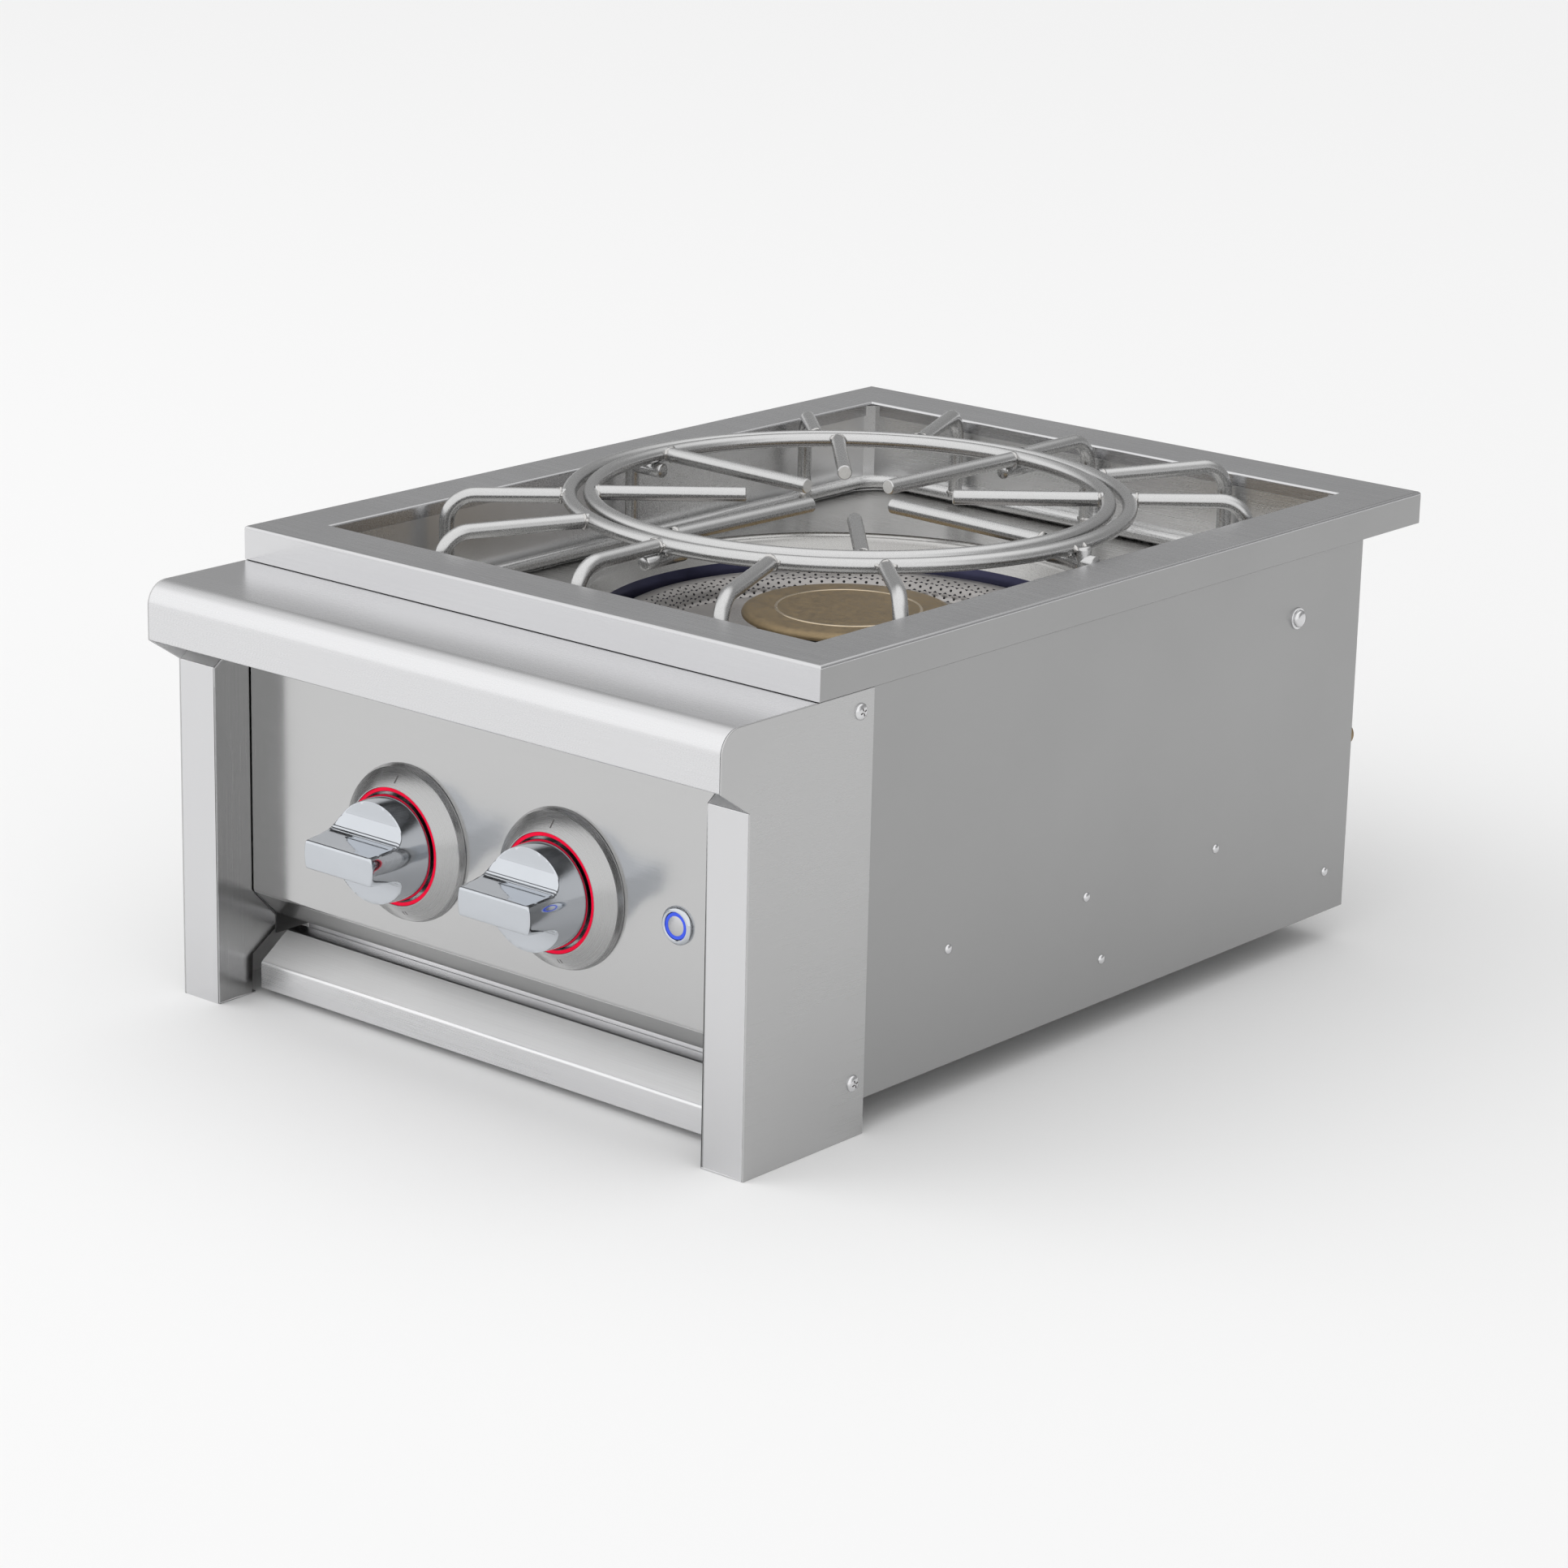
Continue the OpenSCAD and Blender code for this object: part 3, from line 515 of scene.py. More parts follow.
def resample(loop, n, centre):
    """n points on a closed loop, at equal angles around a centre"""
    ang = [math.atan2(p[1] - centre[1], p[0] - centre[0]) % TAU for p in loop]
    order = sorted(range(len(loop)), key=lambda i: ang[i])
    A = [ang[i] for i in order]
    P = [loop[i] for i in order]
    A = [A[-1] - TAU] + A + [A[0] + TAU]
    P = [P[-1]] + P + [P[0]]
    out = []
    for k in range(n):
        t = TAU * k / n
        # ray against the loop's segments
        dx, dy = math.cos(t), math.sin(t)
        for i in range(len(A) - 1):
            if A[i] <= t <= A[i + 1] + 1e-12 and A[i + 1] - A[i] > 1e-9:
                (x1, y1), (x2, y2) = P[i], P[i + 1]
                x1, y1, x2, y2 = x1 - centre[0], y1 - centre[1], x2 - centre[0], y2 - centre[1]
                den = (x2 - x1) * dy - (y2 - y1) * dx
                u = (x1 * -dy + y1 * dx) / den if abs(den) > 1e-12 else 0
                out.append((centre[0] + x1 + (x2 - x1) * u, centre[1] + y1 + (y2 - y1) * u))
                break
    return out


FLOOR = 57.65     # h of the well's floor
FOOT_R = 7        # radius between its walls and its floor
N = 256
x0, x1, d0, d1 = WELL[0] - 1.3, WELL[1] + 1.3, WELL[2] - 1.3, WELL[3] + 1.3
rows = []
steps = [(0, 1.95), (0, 20), (0, 40), (0, FLOOR - FOOT_R)]
for t in (15, 30, 45, 60, 75):
    steps.append((FOOT_R - FOOT_R * math.cos(math.radians(t)),
                  FLOOR - FOOT_R + FOOT_R * math.sin(math.radians(t))))
steps += [(FOOT_R, FLOOR), (12, FLOOR)]
for inset, h in steps:
    loop = round_rect(x0 + inset, x1 - inset, d0 + inset, d1 - inset, max(12 - inset, 5))
    rows.append([place(*p, h) for p in resample(loop, N, (0, BURNER))])
rows += [circle_row(175, FLOOR, N), circle_row(172, FLOOR, N)]
s = Soup()
s.grid(rows, closed_u=True)
lathe_up(s, [(172, FLOOR), (172, FLOOR + 1.2), (178, FLOOR + 1.2)], N)
for i, f in enumerate(s.f):       # the floor is the part below the rounded foot of the walls; it takes a darker copy of the steel and the walls a lighter one: painted shade and painted light
    if middle(s, f, 2) < TOP - FLOOR + 0.6:
        s.m[i] = 1
s.build("well_pan", [WELL_WALL_PAINTED_LIGHT_STEEL, FLOOR_PAINTED_SHADE_STEEL], "cabinet", ["burner_well"], "polished_steel", 30)

# the spill bowl's rim takes the well floor's darker copy of the steel: painted shade
s = Soup()
TINT = (162.2, 72.6)       # radius and h where the tinted band starts
lathe_up(s, [(178, 59.0), (172.5, 58.6), (170.5, 58.8), (168.8, 59.8), (167.6, 61.2),
             (166.6, 63.5), TINT], N)
lathe_up(s, [TINT, (160.8, 75.5), (160, 77.5), (157, 107), (103, 107), (103, 108.2),
             (158.3, 108.2), (168, 64.5), (171, 60.2), (178, 60.2)], N, mat=1)
s.build("spill_bowl_pressing", [FLOOR_PAINTED_SHADE_STEEL, TINTED], "cabinet", ["spill_bowl"], "tinted_steel", 40)

# perforated bowl: three rings of holes, each made of square cells with a round hole
HOLES, HOLE_R = 117, 0.95


def cell_band(soup, prof, hole, count, shift, mat):
    """prof(t) gives (radius, h) for t in 0..1 across the band; hole is the hole's radius, mm"""
    mid = prof(0.5)
    width = math.dist(prof(0), prof(1))
    pitch = TAU * mid[0] / count
    ring = 12
    for k in range(count):
        a0 = TAU * (k + shift) / count

        def at(u, w):
            """u along the band, w across it, in mm from the hole's middle"""
            r, h = prof(0.5 + w / width)
            a = a0 + u / mid[0]
            return place(r * math.cos(a), BURNER + r * math.sin(a), h)
        inner, low, outer = [], [], []
        for j in range(ring):
            t = TAU * j / ring
            c, sn = math.cos(t), math.sin(t)
            inner.append(at(hole * c, hole * sn))
            low.append(tuple(np.array(at(hole * c, hole * sn)) - np.array((0, 0, 1.0))))
            k2 = max(abs(c), abs(sn))
            outer.append(at(pitch / 2 * c / k2, width / 2 * sn / k2))
        n0 = len(soup.v)
        soup.add(outer + inner + low, [(j, (j + 1) % ring, ring + (j + 1) % ring, ring + j)
                                       for j in range(ring)], mat)
        # the holes' walls take the next material, black: painted shade in the holes
        soup.f += [(n0 + ring + j, n0 + ring + (j + 1) % ring, n0 + 2 * ring + (j + 1) % ring,
                    n0 + 2 * ring + j) for j in range(ring)]
        soup.m += [mat + 1] * ring


def along(points):
    """a function of t in 0..1 along a polyline by length"""
    L = [0]
    for a, b in zip(points, points[1:]):
        L.append(L[-1] + math.dist(a, b))

    def f(t):
        x = t * L[-1]
        for i in range(len(points) - 1):
            if x <= L[i + 1] or i == len(points) - 2:
                u = (x - L[i]) / (L[i + 1] - L[i])
                return (points[i][0] + (points[i + 1][0] - points[i][0]) * u,
                        points[i][1] + (points[i + 1][1] - points[i][1]) * u)
    return f


s = Soup()
lathe_up(s, [(150, 79), (150, 77.2), (149.6, 77), (143.4, 77.9)], N)
for shift, band in ((0.0, [(143.4, 77.9), (141, 79.2), (138.9, 80.6)]),
                    (0.5, [(138.9, 80.6), (137.2, 82.8), (136.0, 85.3)]),
                    (0.0, [(136.0, 85.3), (135, 88), (133.2, 89.7)])):
    cell_band(s, along(band), HOLE_R, HOLES, shift, 0)
lathe_up(s, [(133.2, 89.7), (129, 91), (122, 92), (108, 95.2), (92, 98.6), (84, 98.6), (84, 99.6)],
         N, mat=2)
s.build("bowl_pressing", [BOWL_STEEL, IRON_AND_HOLE_SHADE, BOWL_STEEL], "cabinet", ["perforated_bowl"],
        "brushed_steel", 35, weld=False)

s = Soup()
CAP_N = 192
lathe_up(s, [(0.01, 65.1), (45.2, 65.1)], CAP_N)
lathe_up(s, [(45.2, 65.1), (45.5, 64.75), (46.6, 64.7), (47.1, 65.2)], CAP_N, mat=1)
lathe_up(s, [(47.1, 65.2), (62, 65.3), (65.2, 65.9), (67.2, 67.2), (68, 69), (67.8, 70.1),
             (0.01, 70.1)], CAP_N)
s.build("burner_cap_disc", [BRASS, BRASS_LINE], "cap", ["burner_cap"], "brass", 40)

# ---------------------------------------------------------------- cabinet

NOSE_R = 14.5     # the hood's rounded front edge
HOOD_H, HOOD_LOW, HOOD_BACK = 21.3, 57, 19.5
nose_mid = (NOSE_R + HOOD, HOOD_H + NOSE_R)
hood_nose = arc(nose_mid, NOSE_R, -90, -180, 16)
hood_in = arc(nose_mid, 13.3, -180, -90, 16)
low_edge = arc((1.5 + HOOD, HOOD_LOW - 1.5), 1.5, 180, 90, 4)
hood = [(HOOD_BACK, HOOD_H)] + hood_nose + low_edge
hood += [(-73.5, HOOD_LOW), (-73.5, 55.8), (-79.3, 55.8)] + hood_in + [(HOOD_BACK, 22.5)]
s = Soup().outline(hood, -227.9, 227.9)
s.build("hood_sheet", HOOD_STEEL, "cabinet", ["hood"], "brushed_steel", 40, flat=True)

cheek = [(49, HOOD_H)] + hood_nose + [(HOOD, HOOD_LOW), (PILLAR, 73), (PILLAR, 288), (49, 288)]
for side, name in ((1, "right"), (-1, "left")):
    s = Soup()
    a, b = sorted((side * CHEEK_IN, side * CHEEK_OUT))
    s.outline(cheek, a, b)
    s.m[0 if side > 0 else 1] = 1     # the face towards the hood takes a lighter copy of the steel: painted light
    s.build(name + "_cheek_plate", [CHEEK_STEEL, SLOPE_PAINTED_LIGHT_STEEL], "cabinet", [],
            "brushed_steel", 40, 0.45, 3)
    s = Soup()
    a, b = sorted((side * PILLAR_IN, side * 227.95))
    box = rounded([(PILLAR, 73), (PILLAR, 288), (-54.8, 288), (-54.8, 74.2), (-39.8, 63.2),
                   (-25.2, 63.2), (-25.2, 62), (-40, 62)], [1.0, 0, 0, 0, 0, 0, 0, 0])
    s.outline(box, a, b)
    for i, f in enumerate(s.f):       # the fold on top of the pillar takes a lighter copy of the steel: painted light
        if len(f) == 4 and middle(s, f, 1) > FRONT - 54.0 and middle(s, f, 2) > TOP - 80.0:
            s.m[i] = 2
    s.outline([(PILLAR, 286.8), (PILLAR, 288), (-25, 288), (-25, 286.8)], a, b)
    # the pillar's inner plate takes a darker copy of the steel: painted shade
    a, b = sorted((side * PILLAR_IN, side * 199.1))
    s.outline([(PILLAR, 73), (-40, 62), (-25.2, 62), (-25.2, 223), (-8, 241), (-8, 250),
               (-27, 262.1), (-28.2, 288), (PILLAR, 288)], a, b, 1)
    s.build(name + "_pillar", [PILLAR_STEEL, INNER_PAINTED_SHADE_STEEL, SLOPE_PAINTED_LIGHT_STEEL], "cabinet",
            [name + "_cheek"], "brushed_steel", 40, 0.4, 3)
    # the side sheets take the darker side copy of the steel: painted shade on the faces turned to
    # the side
    s = Soup()
    a, b = sorted((side * 226.8, side * CHEEK_IN))
    s.box((a, b), (20, 542), (21.4, 267))
    a, b = sorted((side * 213.0, side * 227.9))
    s.box((a, b), (60, 541.9), (265.8, 267))
    s.build(name + "_side_sheet", SIDE_PAINTED_SHADE_STEEL, "cabinet", [name + "_side_panel"], "brushed_steel",
            40, 0.5, 3)

panel = rounded([(PANEL, 22.7), (PANEL, 221), (-8, 239.7), (4, 239.7), (4, 238.5), (-7.5, 238.5),
                 (-25.5, 220.5), (-25.5, 22.7)], [0, 3.5, 2.5, 0, 0, 1.3, 2.3, 0])
s = Soup().outline(panel, -197.0, 197.0)
for i, f in enumerate(s.f):       # the folded strip under the panel takes a dark copy of the steel: painted shade
    if middle(s, f, 1) > FRONT - 24.0:
        s.m[i] = 1
s.build("control_panel_sheet", [PANEL_STEEL, FOLD_PAINTED_SHADE_STEEL], "cabinet", ["control_panel"],
        "brushed_steel", 40, flat=True,
        holes=[(-KNOB_X, KNOB_H, 7.5), (KNOB_X, KNOB_H, 7.5), (BUTTON_X, BUTTON_H, 8.3)])

rail = rounded([(PANEL, 266), (-4, 250), (8, 250), (8, 262.5), (6.8, 262.5), (6.8, 251.2),
                (-4.2, 251.2), (-25.5, 266.6), (-25.5, 281.8), (-14, 281.8), (-14, 283),
                (PANEL, 283)], [2.6, 2.0, 0.6, 0, 0, 0, 0, 1.4, 0, 0, 0, 1.0])
s = Soup().outline(rail, -191, 191)
for i, f in enumerate(s.f):       # the slope from the rail's face up to its top edge takes a lighter copy of the steel: painted light
    back = middle(s, f, 1) - FRONT
    if len(f) == 4 and -24.0 < back < -5.0 and middle(s, f, 2) > TOP - 264.0:
        s.m[i] = 1
tray_low = 264.2
tray_w = 185
for d in ((8, 9.2), (498.8, 500)):
    s.box((-tray_w, tray_w), d, (246, tray_low))
for side in (-1, 1):
    s.box(sorted((side * 183.8, side * tray_w)), (9.2, 498.8), (246, tray_low))
s.box((-tray_w, tray_w), (8, 500), (tray_low - 1.2, tray_low))
s.build("drip_tray_pressing", [TRAY_STEEL, SLOPE_PAINTED_LIGHT_STEEL], "tray", ["drip_tray"],
        "brushed_steel", 40, flat=True)

# ---------------------------------------------------------------- controls

BEZEL_IN, BEZEL_OUT = (37.2, 12.4), (46.6, 4.95)      # radius and reach of the cone's two ends
for side, kx in (("left", -KNOB_X), ("right", KNOB_X)):
    centre = (kx * MM, 0, (TOP - KNOB_H) * MM)
    mat = turned(side + "_bezel_steel", (0.46, 0.46, 0.46), 0.24, centre, 1)
    s = Soup()
    lathe_front(s, kx, KNOB_H, [(7, 0.1), (48.3, 0.1), (48.5, 0.4), (48.5, 1.0), (48.3, 1.5),
                                (47.0, 4.5), BEZEL_OUT, BEZEL_IN, (36.7, 12.8), (36.3, 12.8),
                                (36.0, 12.5), (36.0, 3.2), (7, 3.0)], n=160)
    s.build(side + "_bezel_ring", mat, "cabinet", [side + "_bezel"], "brushed_steel", 16)
    # generic marks: a short bar over the knob and two small ones under it
    s = Soup()

    def mark(angle, r0, r1, wide):
        t = math.radians(angle)
        u = (math.cos(t), math.sin(t))
        v = (-u[1], u[0])
        pts = []
        for r, w in ((r0, -wide), (r0, wide), (r1, wide), (r1, -wide)):
            fall = (BEZEL_IN[1] - BEZEL_OUT[1]) / (BEZEL_OUT[0] - BEZEL_IN[0])
            reach = BEZEL_IN[1] - (r - BEZEL_IN[0]) * fall
            pts.append((kx + u[0] * r + v[0] * w, FRONT + PANEL - reach - 0.06,
                        TOP - KNOB_H + u[1] * r + v[1] * w))
        s.add(pts, [(0, 1, 2, 3)])
    mark(90, 39.0, 43.0, 0.45)
    mark(-82, 40.0, 42.5, 0.3)
    mark(-79, 40.0, 42.5, 0.3)
    s.build(side + "_bezel_marks", INK_AND_SLOT_SHADE, "cabinet", [], "black_plastic", 30)
    s = Soup()
    lathe_front(s, kx, KNOB_H, [(35.9, 3.1), (33.5, 3.1), (33.5, 11.6),
                                (33.9, 12.2)], n=128, mat=1)
    lathe_front(s, kx, KNOB_H, [(33.9, 12.2), (34.2, 12.3), (35.3, 12.3), (35.9, 11.9),
                                (35.9, 3.1)], n=128)
    s.build(side + "_red_ring", [RED_LIGHT, CHROME], "cabinet", [side + "_light_ring"],
            "red_light", 40)

# the knob: a tapered body cut from above and below so that a level grip bar is left.
# UP and LOW are [reach, height from the axis] of the two cuts, BODY is [reach, radius]
UP = [(58.3, 8.5), (54, 8.8), (50, 9.2), (44, 9.8), (40, 10.3), (37.6, 10.9), (36.9, 11.5),
      (36.2, 11.6), (35.6, 11.9), (35.1, 12.7), (34.5, 12.9), (33.4, 14.0), (32.2, 15.6),
      (31.6, 16.9), (31.1, 18.0), (30.4, 18.7), (29.9, 20.4), (29.5, 23.4), (29.2, 27),
      (29.0, 30), (28.8, 40)]
LOW = [(58.3, 8.8), (54, 8.9), (49, 9.1), (43, 9.6), (38, 10.4), (34.8, 12.2), (32.6, 15.0),
       (31.4, 19), (30.8, 24), (30.4, 29), (30.2, 40)]
BODY = [(13, 32.6), (58.3, 28.2)]
NOSE, FOOT = 58.3, 13.0
RIM = 1.6         # radius of the front face's rounded rim


def interp(table, t):
    xs = [p[0] for p in table]
    ys = [p[1] for p in table]
    if xs[0] > xs[-1]:
        xs, ys = xs[::-1], ys[::-1]
    return float(np.interp(t, xs, ys))


def soft_min(a, b, k):
    h = max(k - abs(a - b), 0.0) / k
    return min(a, b) - h * h * k * 0.25


def smooth_table(table, t, w=0.22):
    return sum(interp(table, t + o) * g for o, g in
               ((-w, 0.25), (0, 0.5), (w, 0.25)))


def knob_mesh(kx, n=240):
    ts = [FOOT, 13.15, 13.4, 13.8, 14.2] + list(np.arange(15.5, 28, 1.5))
    ts += list(np.arange(28, 38, 0.12)) + list(np.arange(38, 56, 0.8))
    ts += [56.6, 57.0, 57.4, 57.7, 57.95, 58.12, 58.23, NOSE]
    rows = []
    for t in ts:
        edge = 0.0
        if t > NOSE - RIM:
            q = (t - NOSE + RIM) / RIM
            edge = RIM * (1 - math.sqrt(max(0.0, 1 - q * q)))
        if t < FOOT + 1:
            q = FOOT + 1 - t
            edge = 1 - math.sqrt(max(0.0, 1 - q * q))
        rc = interp(BODY, t) - edge
        zu = smooth_table(UP, t) - edge if t >= 28.8 else 60.0
        zl = smooth_table(LOW, t) - edge if t >= 30.2 else 60.0
        row = []
        for j in range(n):
            a = TAU * j / n
            c, sn = math.cos(a), math.sin(a)
            r = rc
            if sn > 1e-6:
                r = soft_min(rc, zu / sn, 1.1)
            elif sn < -1e-6:
                r = soft_min(rc, zl / -sn, 1.1)
            row.append((kx + r * c, FRONT + PANEL - t, TOP - KNOB_H + r * sn))
        rows.append(row)
    s = Soup()
    s.grid(rows, closed_u=True)
    for t, k in ((NOSE, len(s.v) - n), (FOOT, 0)):
        mid = len(s.v)
        s.add([(kx, FRONT + PANEL - t - (0.5 if k else 0), TOP - KNOB_H)], [])
        s.f += [(k + j, k + (j + 1) % n, mid) for j in range(n)]
        s.m += [0] * n
    return s


for side, kx in (("left", -KNOB_X), ("right", KNOB_X)):
    knob_mesh(kx).build(side + "_knob_casting", CHROME, side + "_control", [side + "_knob"],
                        "knob_chrome", 60)

s = Soup()
lathe_front(s, BUTTON_X, BUTTON_H, [(8.2, -20), (8.2, 2.6), (8.6, 3.0), (9.6, 3.0),
                                    (10.0, 2.8), (11.2, 1.4), (11.5, 1.0), (11.5, 0.02),
                                    (9.4, 0.0), (9.4, -26)], n=96)
s.build("button_collar", CHROME, "cabinet", ["button_housing"], "knob_chrome", 40)
s = Soup()
lathe_front(s, BUTTON_X, BUTTON_H, [(7.9, -12), (7.9, 1.5), (7.8, 1.65), (5.95, 1.65),
                                    (5.9, 2.2), (5.6, 2.4), (0.01, 2.45)], n=96)
s.build("button_face", brushed("button_steel", "x", (0.58, 0.58, 0.59), 0.35), "button",
        ["button_cap"], "knob_chrome", 40)
s = Soup()
lathe_front(s, BUTTON_X, BUTTON_H, [(5.98, 1.5), (5.98, 2.35), (6.2, 2.5), (7.6, 2.5),
                                    (7.82, 2.3), (7.82, 1.5)], n=96, close=True)
s.build("button_blue_ring", BLUE_LIGHT, "button", ["button_light"], "blue_light", 40)

# ---------------------------------------------------------------- grate

ROD = 4.75         # the rods' radius
RING_Z = -6.5      # h of the ring, of the loose centre ring and of the foot frame
C_Z = -7.8
FOOT_H = 52.5
FRAME_X = 184.0    # x of the two uprights


def torus(soup, radius, h, r=ROD, n=200, m=20):
    rows = []
    for i in range(n):
        a = TAU * i / n
        rows.append([place((radius + r * math.cos(TAU * j / m)) * math.cos(a),
                           GRATE + (radius + r * math.cos(TAU * j / m)) * math.sin(a),
                           h - r * math.sin(TAU * j / m)) for j in range(m)])
    return soup.grid(rows, closed_u=True, closed_v=True)


s = torus(Soup(), RING_R, RING_Z)
s.build("grate_ring_rod", ROD_STEEL, "grate", ["grate_ring"], "rod_steel", 60)


def leg_path(p, q, bend=18.0):
    """level from p, then a bend and straight down at q to the foot frame"""
    run = math.dist(p, q)
    u = ((q[0] - p[0]) / run, (q[1] - p[1]) / run)
    out = [place(p[0], p[1], RING_Z)]
    for i in range(11):
        t = math.radians(9 * i)
        f = run - bend + bend * math.sin(t)
        out.append(place(p[0] + u[0] * f, p[1] + u[1] * f, RING_Z + bend * (1 - math.cos(t))))
    out.append(place(q[0], q[1], FOOT_H))
    return out


legs, welds = Soup(), Soup()
seed = 0
on = RING_R + 2.0  # where a leg starts, just past the ring's middle line
for sy in (-1, 1):
    end = GRATE + sy * 251.0
    todo = [((0, GRATE + sy * on), (0, end))]
    for sx in (-1, 1):
        for turn, q in ((24.5, (sx * 112.0, end)), (46.5, (sx * 183.0, GRATE + sy * 174.0))):
            a = math.radians(turn)
            todo.append(((sx * on * math.sin(a), GRATE + sy * on * math.cos(a)), q))
    for p, q in todo:
        tube(legs, leg_path(p, q), ROD, ends=(False, False))
        seed += 1
        u = Vector((q[0] - p[0], q[1] - p[1], 0)).normalized()
        out = Vector((p[0], p[1] - GRATE, 0)).normalized()
        at = Vector(place(p[0], p[1], RING_Z)) + u * 3.4
        blob(welds, at, u, (2.2, 5.5, 5.2), seed)
        for k in (-1, 1):
            side = Vector((-out.y, out.x, 0)) * k
            blob(welds, Vector(place(p[0], p[1], RING_Z)) + out * 2.6 + side * 5.0
                 + Vector((0, 0, 0.8)), out, (1.2, 2.0, 1.7), seed + 200 + 40 * k)
        blob(welds, Vector(place(q[0], q[1], FOOT_H - 3.0)), (0, 0, 1), (3.0, 5.6, 5.4), seed + 9)
legs.build("grate_leg_rods", ROD_STEEL, "grate", ["grate_legs"], "rod_steel", 60)

foot = Soup()
fx, ff, fb = 186.0, 48.0, 556.0
loop = round_rect(-fx, fx, ff, fb, 25, 12)
P = [place(*p, FOOT_H) for p in loop]
rows = []
k = len(P)
for i in range(k):
    t = (Vector(P[(i + 1) % k]) - Vector(P[i - 1])).normalized()
    side = Vector((-t.y, t.x, 0))
    rows.append([Vector(P[i]) + (side * math.cos(TAU * j / 20) + Vector((0, 0, 1))
                 * math.sin(TAU * j / 20)) * ROD for j in range(20)])
foot.grid(rows, closed_u=True, closed_v=True)
for sx in (-1, 1):
    tube(foot, [place(sx * FRAME_X, GRATE, FOOT_H), place(sx * FRAME_X, GRATE, 20),
                place(sx * 183.6, GRATE, RING_Z + 1.6), place(sx * 183.2, GRATE, RING_Z - 0.4)],
         ROD, ends=(False, True))
    blob(welds, place(sx * 180.5, GRATE - 4.5, RING_Z + 0.5), (0, 1, 0), (1.6, 2.6, 2.4), 70 + sx)
    blob(welds, place(sx * 180.5, GRATE + 4.5, RING_Z + 0.5), (0, 1, 0), (1.6, 2.6, 2.4), 74 + sx)
foot.build("grate_foot_rod", ROD_STEEL, "grate", ["grate_foot"], "rod_steel", 60)

rests = Soup()
for k in range(4):
    a = TAU * k / 4
    c, sn = math.cos(a), math.sin(a)
    tube(rests, [place(157 * c, GRATE + 157 * sn, 2.0), place(175 * c, GRATE + 175 * sn, 2.0),
                 place(193 * c, GRATE + 193 * sn, 2.0)], ROD)
    for q in (-1, 1):
        blob(welds, place(176 * c - sn * 4.2 * q, GRATE + 176 * sn + c * 4.2 * q, -1.6),
             (-sn * q, c * q, 0.4), (1.2, 2.0, 1.7), 90 + 4 * k + q)
rests.build("grate_rest_rods", ROD_STEEL, "grate", ["grate_rests"], "rod_steel", 60)
welds.build("grate_weld_beads", WELD_STEEL, "grate", [], "rod_steel", 70)

s = torus(Soup(), CENTRE_R, C_Z)
s.build("centre_ring_rod", ROD_STEEL, "centre", ["centre_ring"], "rod_steel", 60)
fingers, beads = Soup(), Soup()
for k in range(8):
    a = TAU * k / 8 - math.radians(2.6)           # the whole centre ring sits a little turned
    inner = 36.0 if k % 2 == 0 else 65.0          # long and short fingers take turns
    c, sn = math.cos(a), math.sin(a)
    tube(fingers, [place(inner * c, GRATE + inner * sn, C_Z),
                   place((inner + 20) * c, GRATE + (inner + 20) * sn, C_Z),
                   place(159.6 * c, GRATE + 159.6 * sn, C_Z)], ROD, ends=(True, False), cut=1)
    blob(beads, Vector(place(157.4 * c, GRATE + 157.4 * sn, C_Z)), (c, sn, 0), (2.2, 5.6, 5.2),
         120 + k)
fingers.build("centre_finger_rods", [ROD_STEEL, CUT_STEEL], "centre", ["centre_fingers"],
              "rod_steel", 40)
beads.build("centre_weld_beads", WELD_STEEL, "centre", [], "rod_steel", 70)

# ---------------------------------------------------------------- fasteners


def dome(soup, side, at, points, n=32):
    """turned around X, from points [radius, reach out of the side face]"""
    x, d, h = at
    rows = [[(side * (x + t), FRONT + d + r * math.cos(TAU * j / n), TOP - h
              + r * math.sin(TAU * j / n)) for j in range(n)] for r, t in points]
    return soup.grid(rows, closed_u=True)


screws, bolts, rivets = Soup(), Soup(), Soup()
for side in (-1, 1):
    for d, h in ((37, 33.5), (38.5, 254.5)):
        dome(screws, side, (CHEEK_OUT, d, h), [(5, 0), (5, 0.5), (4.8, 0.95), (4.1, 1.6),
                                               (3.0, 2.05), (1.6, 2.25), (0.01, 2.3)])
        # each screw head's two slots are flat black quads: painted shade in the slots
        for turn in (20, 110):
            t = math.radians(turn)
            u, v = (math.cos(t), math.sin(t)), (-math.sin(t), math.cos(t))
            pts = []
            for a, b in ((-2.5, -0.45), (2.5, -0.45), (2.5, 0.45), (-2.5, 0.45)):
                pts.append((side * (CHEEK_OUT + 2.28), FRONT + d + u[0] * a + v[0] * b,
                            TOP - h + u[1] * a + v[1] * b))
            screws.add(pts, [(0, 1, 2, 3)], 1)
    dome(bolts, side, (CHEEK_IN, 471, 60.5), [(7, 0), (7, 0.7), (6.8, 1.0), (5.6, 1.2), (5.4, 2.6),
                                              (4.6, 3.5), (3, 4.0), (0.01, 4.1)])
    for d, h in ((393.5, 195), (519, 239), (259, 195), (125, 195), (277, 239)):
        dome(rivets, side, (CHEEK_IN, d, h), [(3.1, 0), (3.05, 0.35), (2.6, 0.95), (1.6, 1.4),
                                              (0.01, 1.6)])
screws.build("cheek_screw_heads", [BOLT_STEEL, INK_AND_SLOT_SHADE], "cabinet", ["cheek_screws"],
             "polished_steel", 40)
bolts.build("side_bolt_heads", BOLT_STEEL, "cabinet", ["side_bolts"], "polished_steel", 40)
rivets.build("side_rivet_heads", BOLT_STEEL, "cabinet", ["side_rivets"], "polished_steel", 40)

# ---------------------------------------------------------------- stage, light, camera

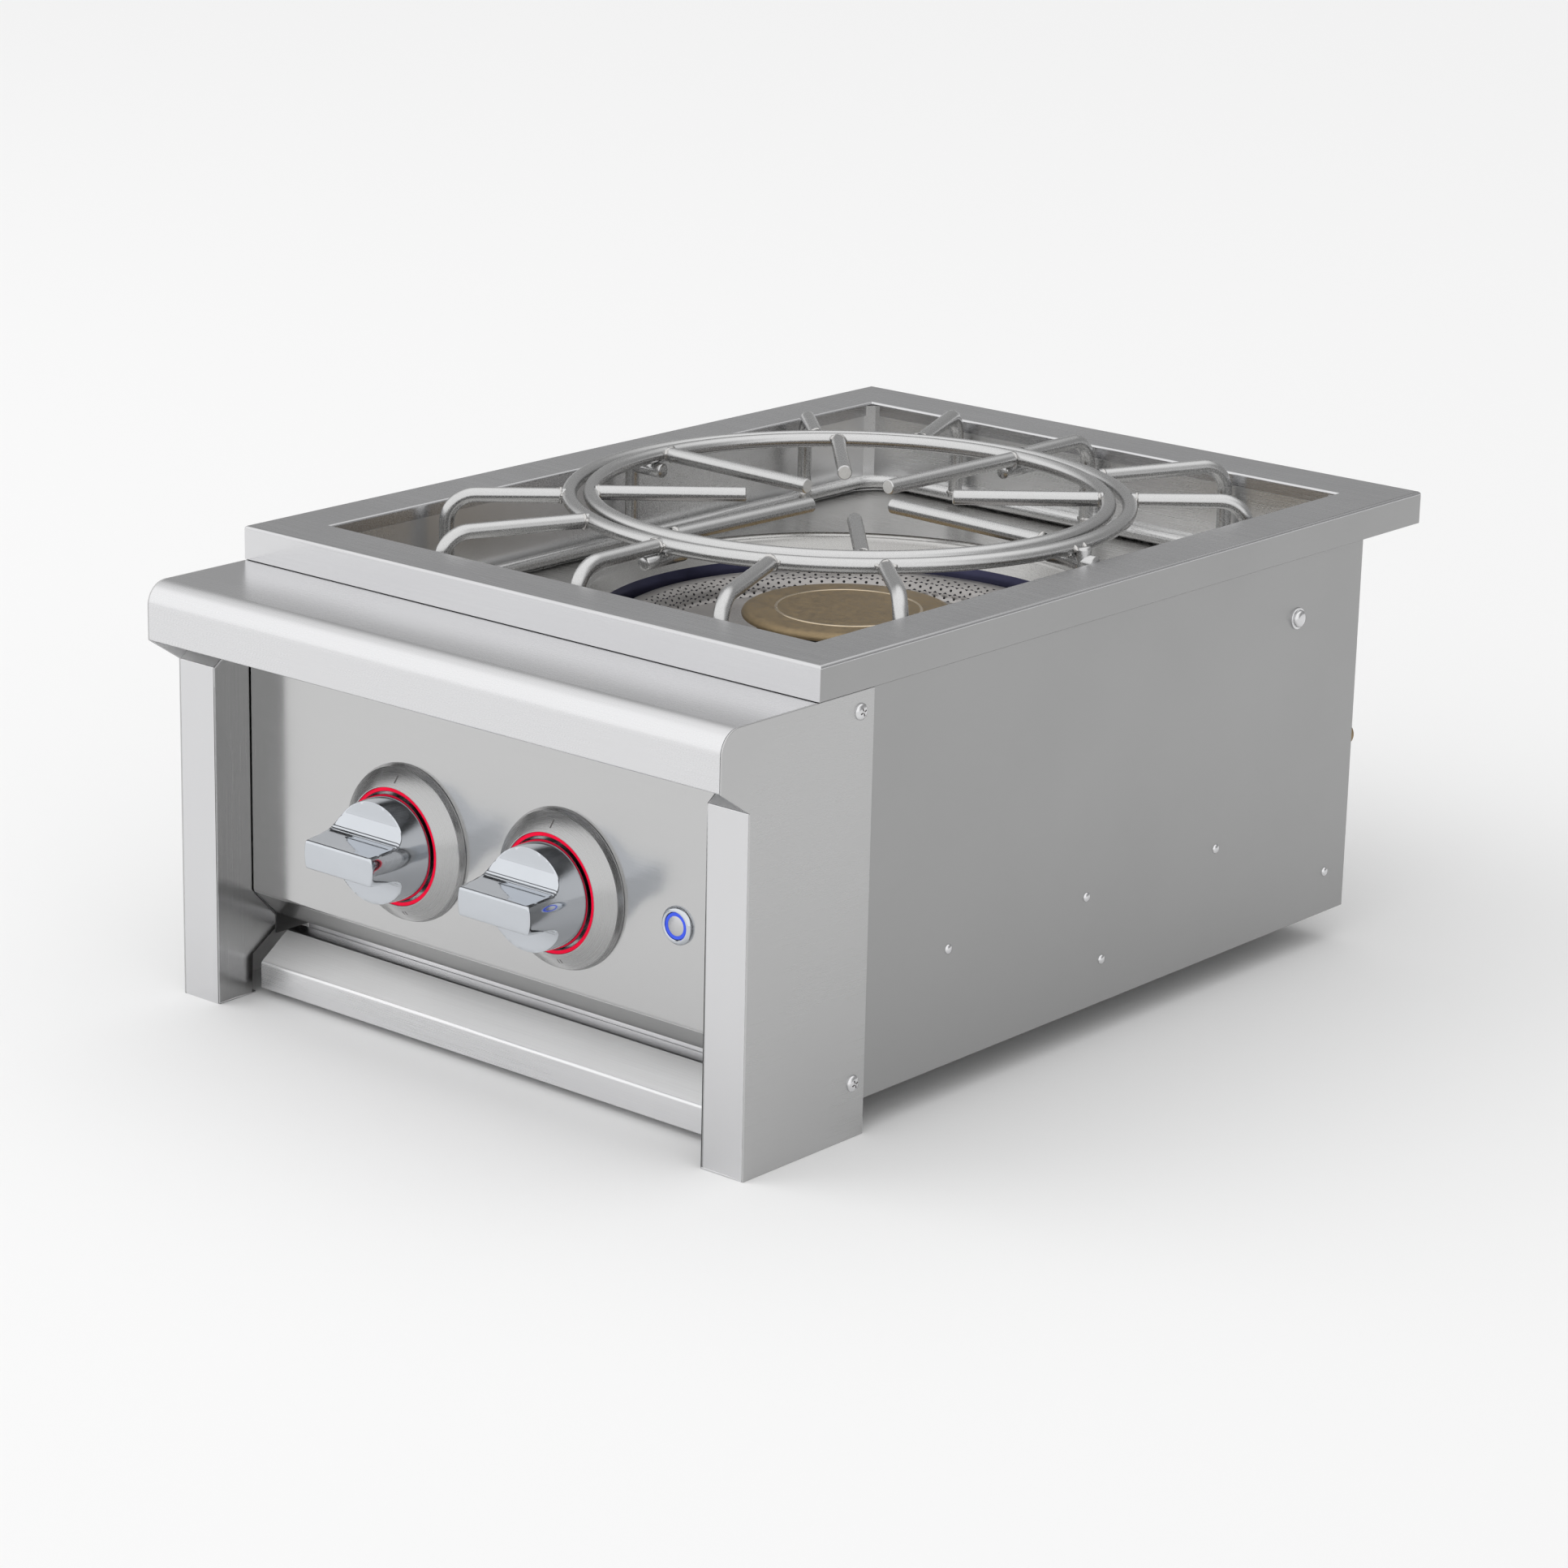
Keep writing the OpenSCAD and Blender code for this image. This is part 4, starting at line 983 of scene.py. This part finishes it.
fm, _, fb_ = nodes_of("floor_paint")
fb_.inputs["Base Color"].default_value = (0.86, 0.86, 0.86, 1)
fb_.inputs["Roughness"].default_value = 0.9
fb_.inputs["Specular IOR Level"].default_value = 0.1
me = bpy.data.meshes.new("studio_floor")
reach = 14.0      # half the floor's width, m
me.from_pydata([(-reach, -reach, 0), (reach, -reach, 0), (reach, reach, 0), (-reach, reach, 0)],
               [], [(0, 1, 2, 3)])
me.materials.append(fm)
floor = bpy.data.objects.new("studio_floor", me)
bpy.context.scene.collection.objects.link(floor)

world = bpy.data.worlds.new("studio")
bpy.context.scene.world = world
world.use_nodes = True
wt = world.node_tree
bg = wt.nodes["Background"]
tc = wt.nodes.new("ShaderNodeTexCoord")
sep = wt.nodes.new("ShaderNodeSeparateXYZ")
link(wt, tc, "Generated", sep, "Vector")
# the surroundings: bright towards the front, dimmer behind, and bright overhead
low = remap(wt, sep, "Y", 1.2, 0.36, -0.20, 0.35)
high = remap(wt, sep, "Z", 0.0, 1.25, 0.35, 0.85)
mx = wt.nodes.new("ShaderNodeMath")
mx.operation = "MAXIMUM"
link(wt, low, "Result", mx, 0)
link(wt, high, "Result", mx, 1)
link(wt, mx, "Value", bg, "Strength")
bg.inputs["Color"].default_value = (1, 1, 1, 1)


def area(name, at, target, size, power):
    d = bpy.data.lights.new(name, "AREA")
    d.shape = "RECTANGLE"
    d.size, d.size_y = size
    d.energy = power
    ob = bpy.data.objects.new(name, d)
    bpy.context.scene.collection.objects.link(ob)
    ob.location = at
    ob.rotation_mode = "QUATERNION"
    ob.rotation_quaternion = (Vector(target) - Vector(at)).to_track_quat("-Z", "Y")
    ob.visible_glossy = False         # the sheets mirror only the soft surroundings
    return ob


area("key_left", (-2.6, -2.2, 3.2), (0, 0, 0.15), (3.0, 2.4), 26)

AZ, EL, ROLL = (math.radians(v) for v in (40.079, 16.785, 1.296))
fwd = Vector((-math.sin(AZ) * math.cos(EL), math.cos(AZ) * math.cos(EL), -math.sin(EL)))
right = Vector((math.cos(AZ), math.sin(AZ), 0))
upv = right.cross(fwd)
r2 = right * math.cos(ROLL) + upv * math.sin(ROLL)
u2 = -right * math.sin(ROLL) + upv * math.cos(ROLL)
cam_data = bpy.data.cameras.new("camera")
cam_data.lens = 103.5
cam_data.sensor_width = 36
cam_data.clip_start, cam_data.clip_end = 0.05, 100
cam = bpy.data.objects.new("camera", cam_data)
bpy.context.scene.collection.objects.link(cam)
at = (1.7512, -2.0963, 0.9395)
cam.matrix_world = Matrix([(r2[i], u2[i], -fwd[i], at[i]) for i in range(3)] + [(0, 0, 0, 1)])
bpy.context.scene.camera = cam
bpy.context.scene.view_settings.view_transform = "Standard"
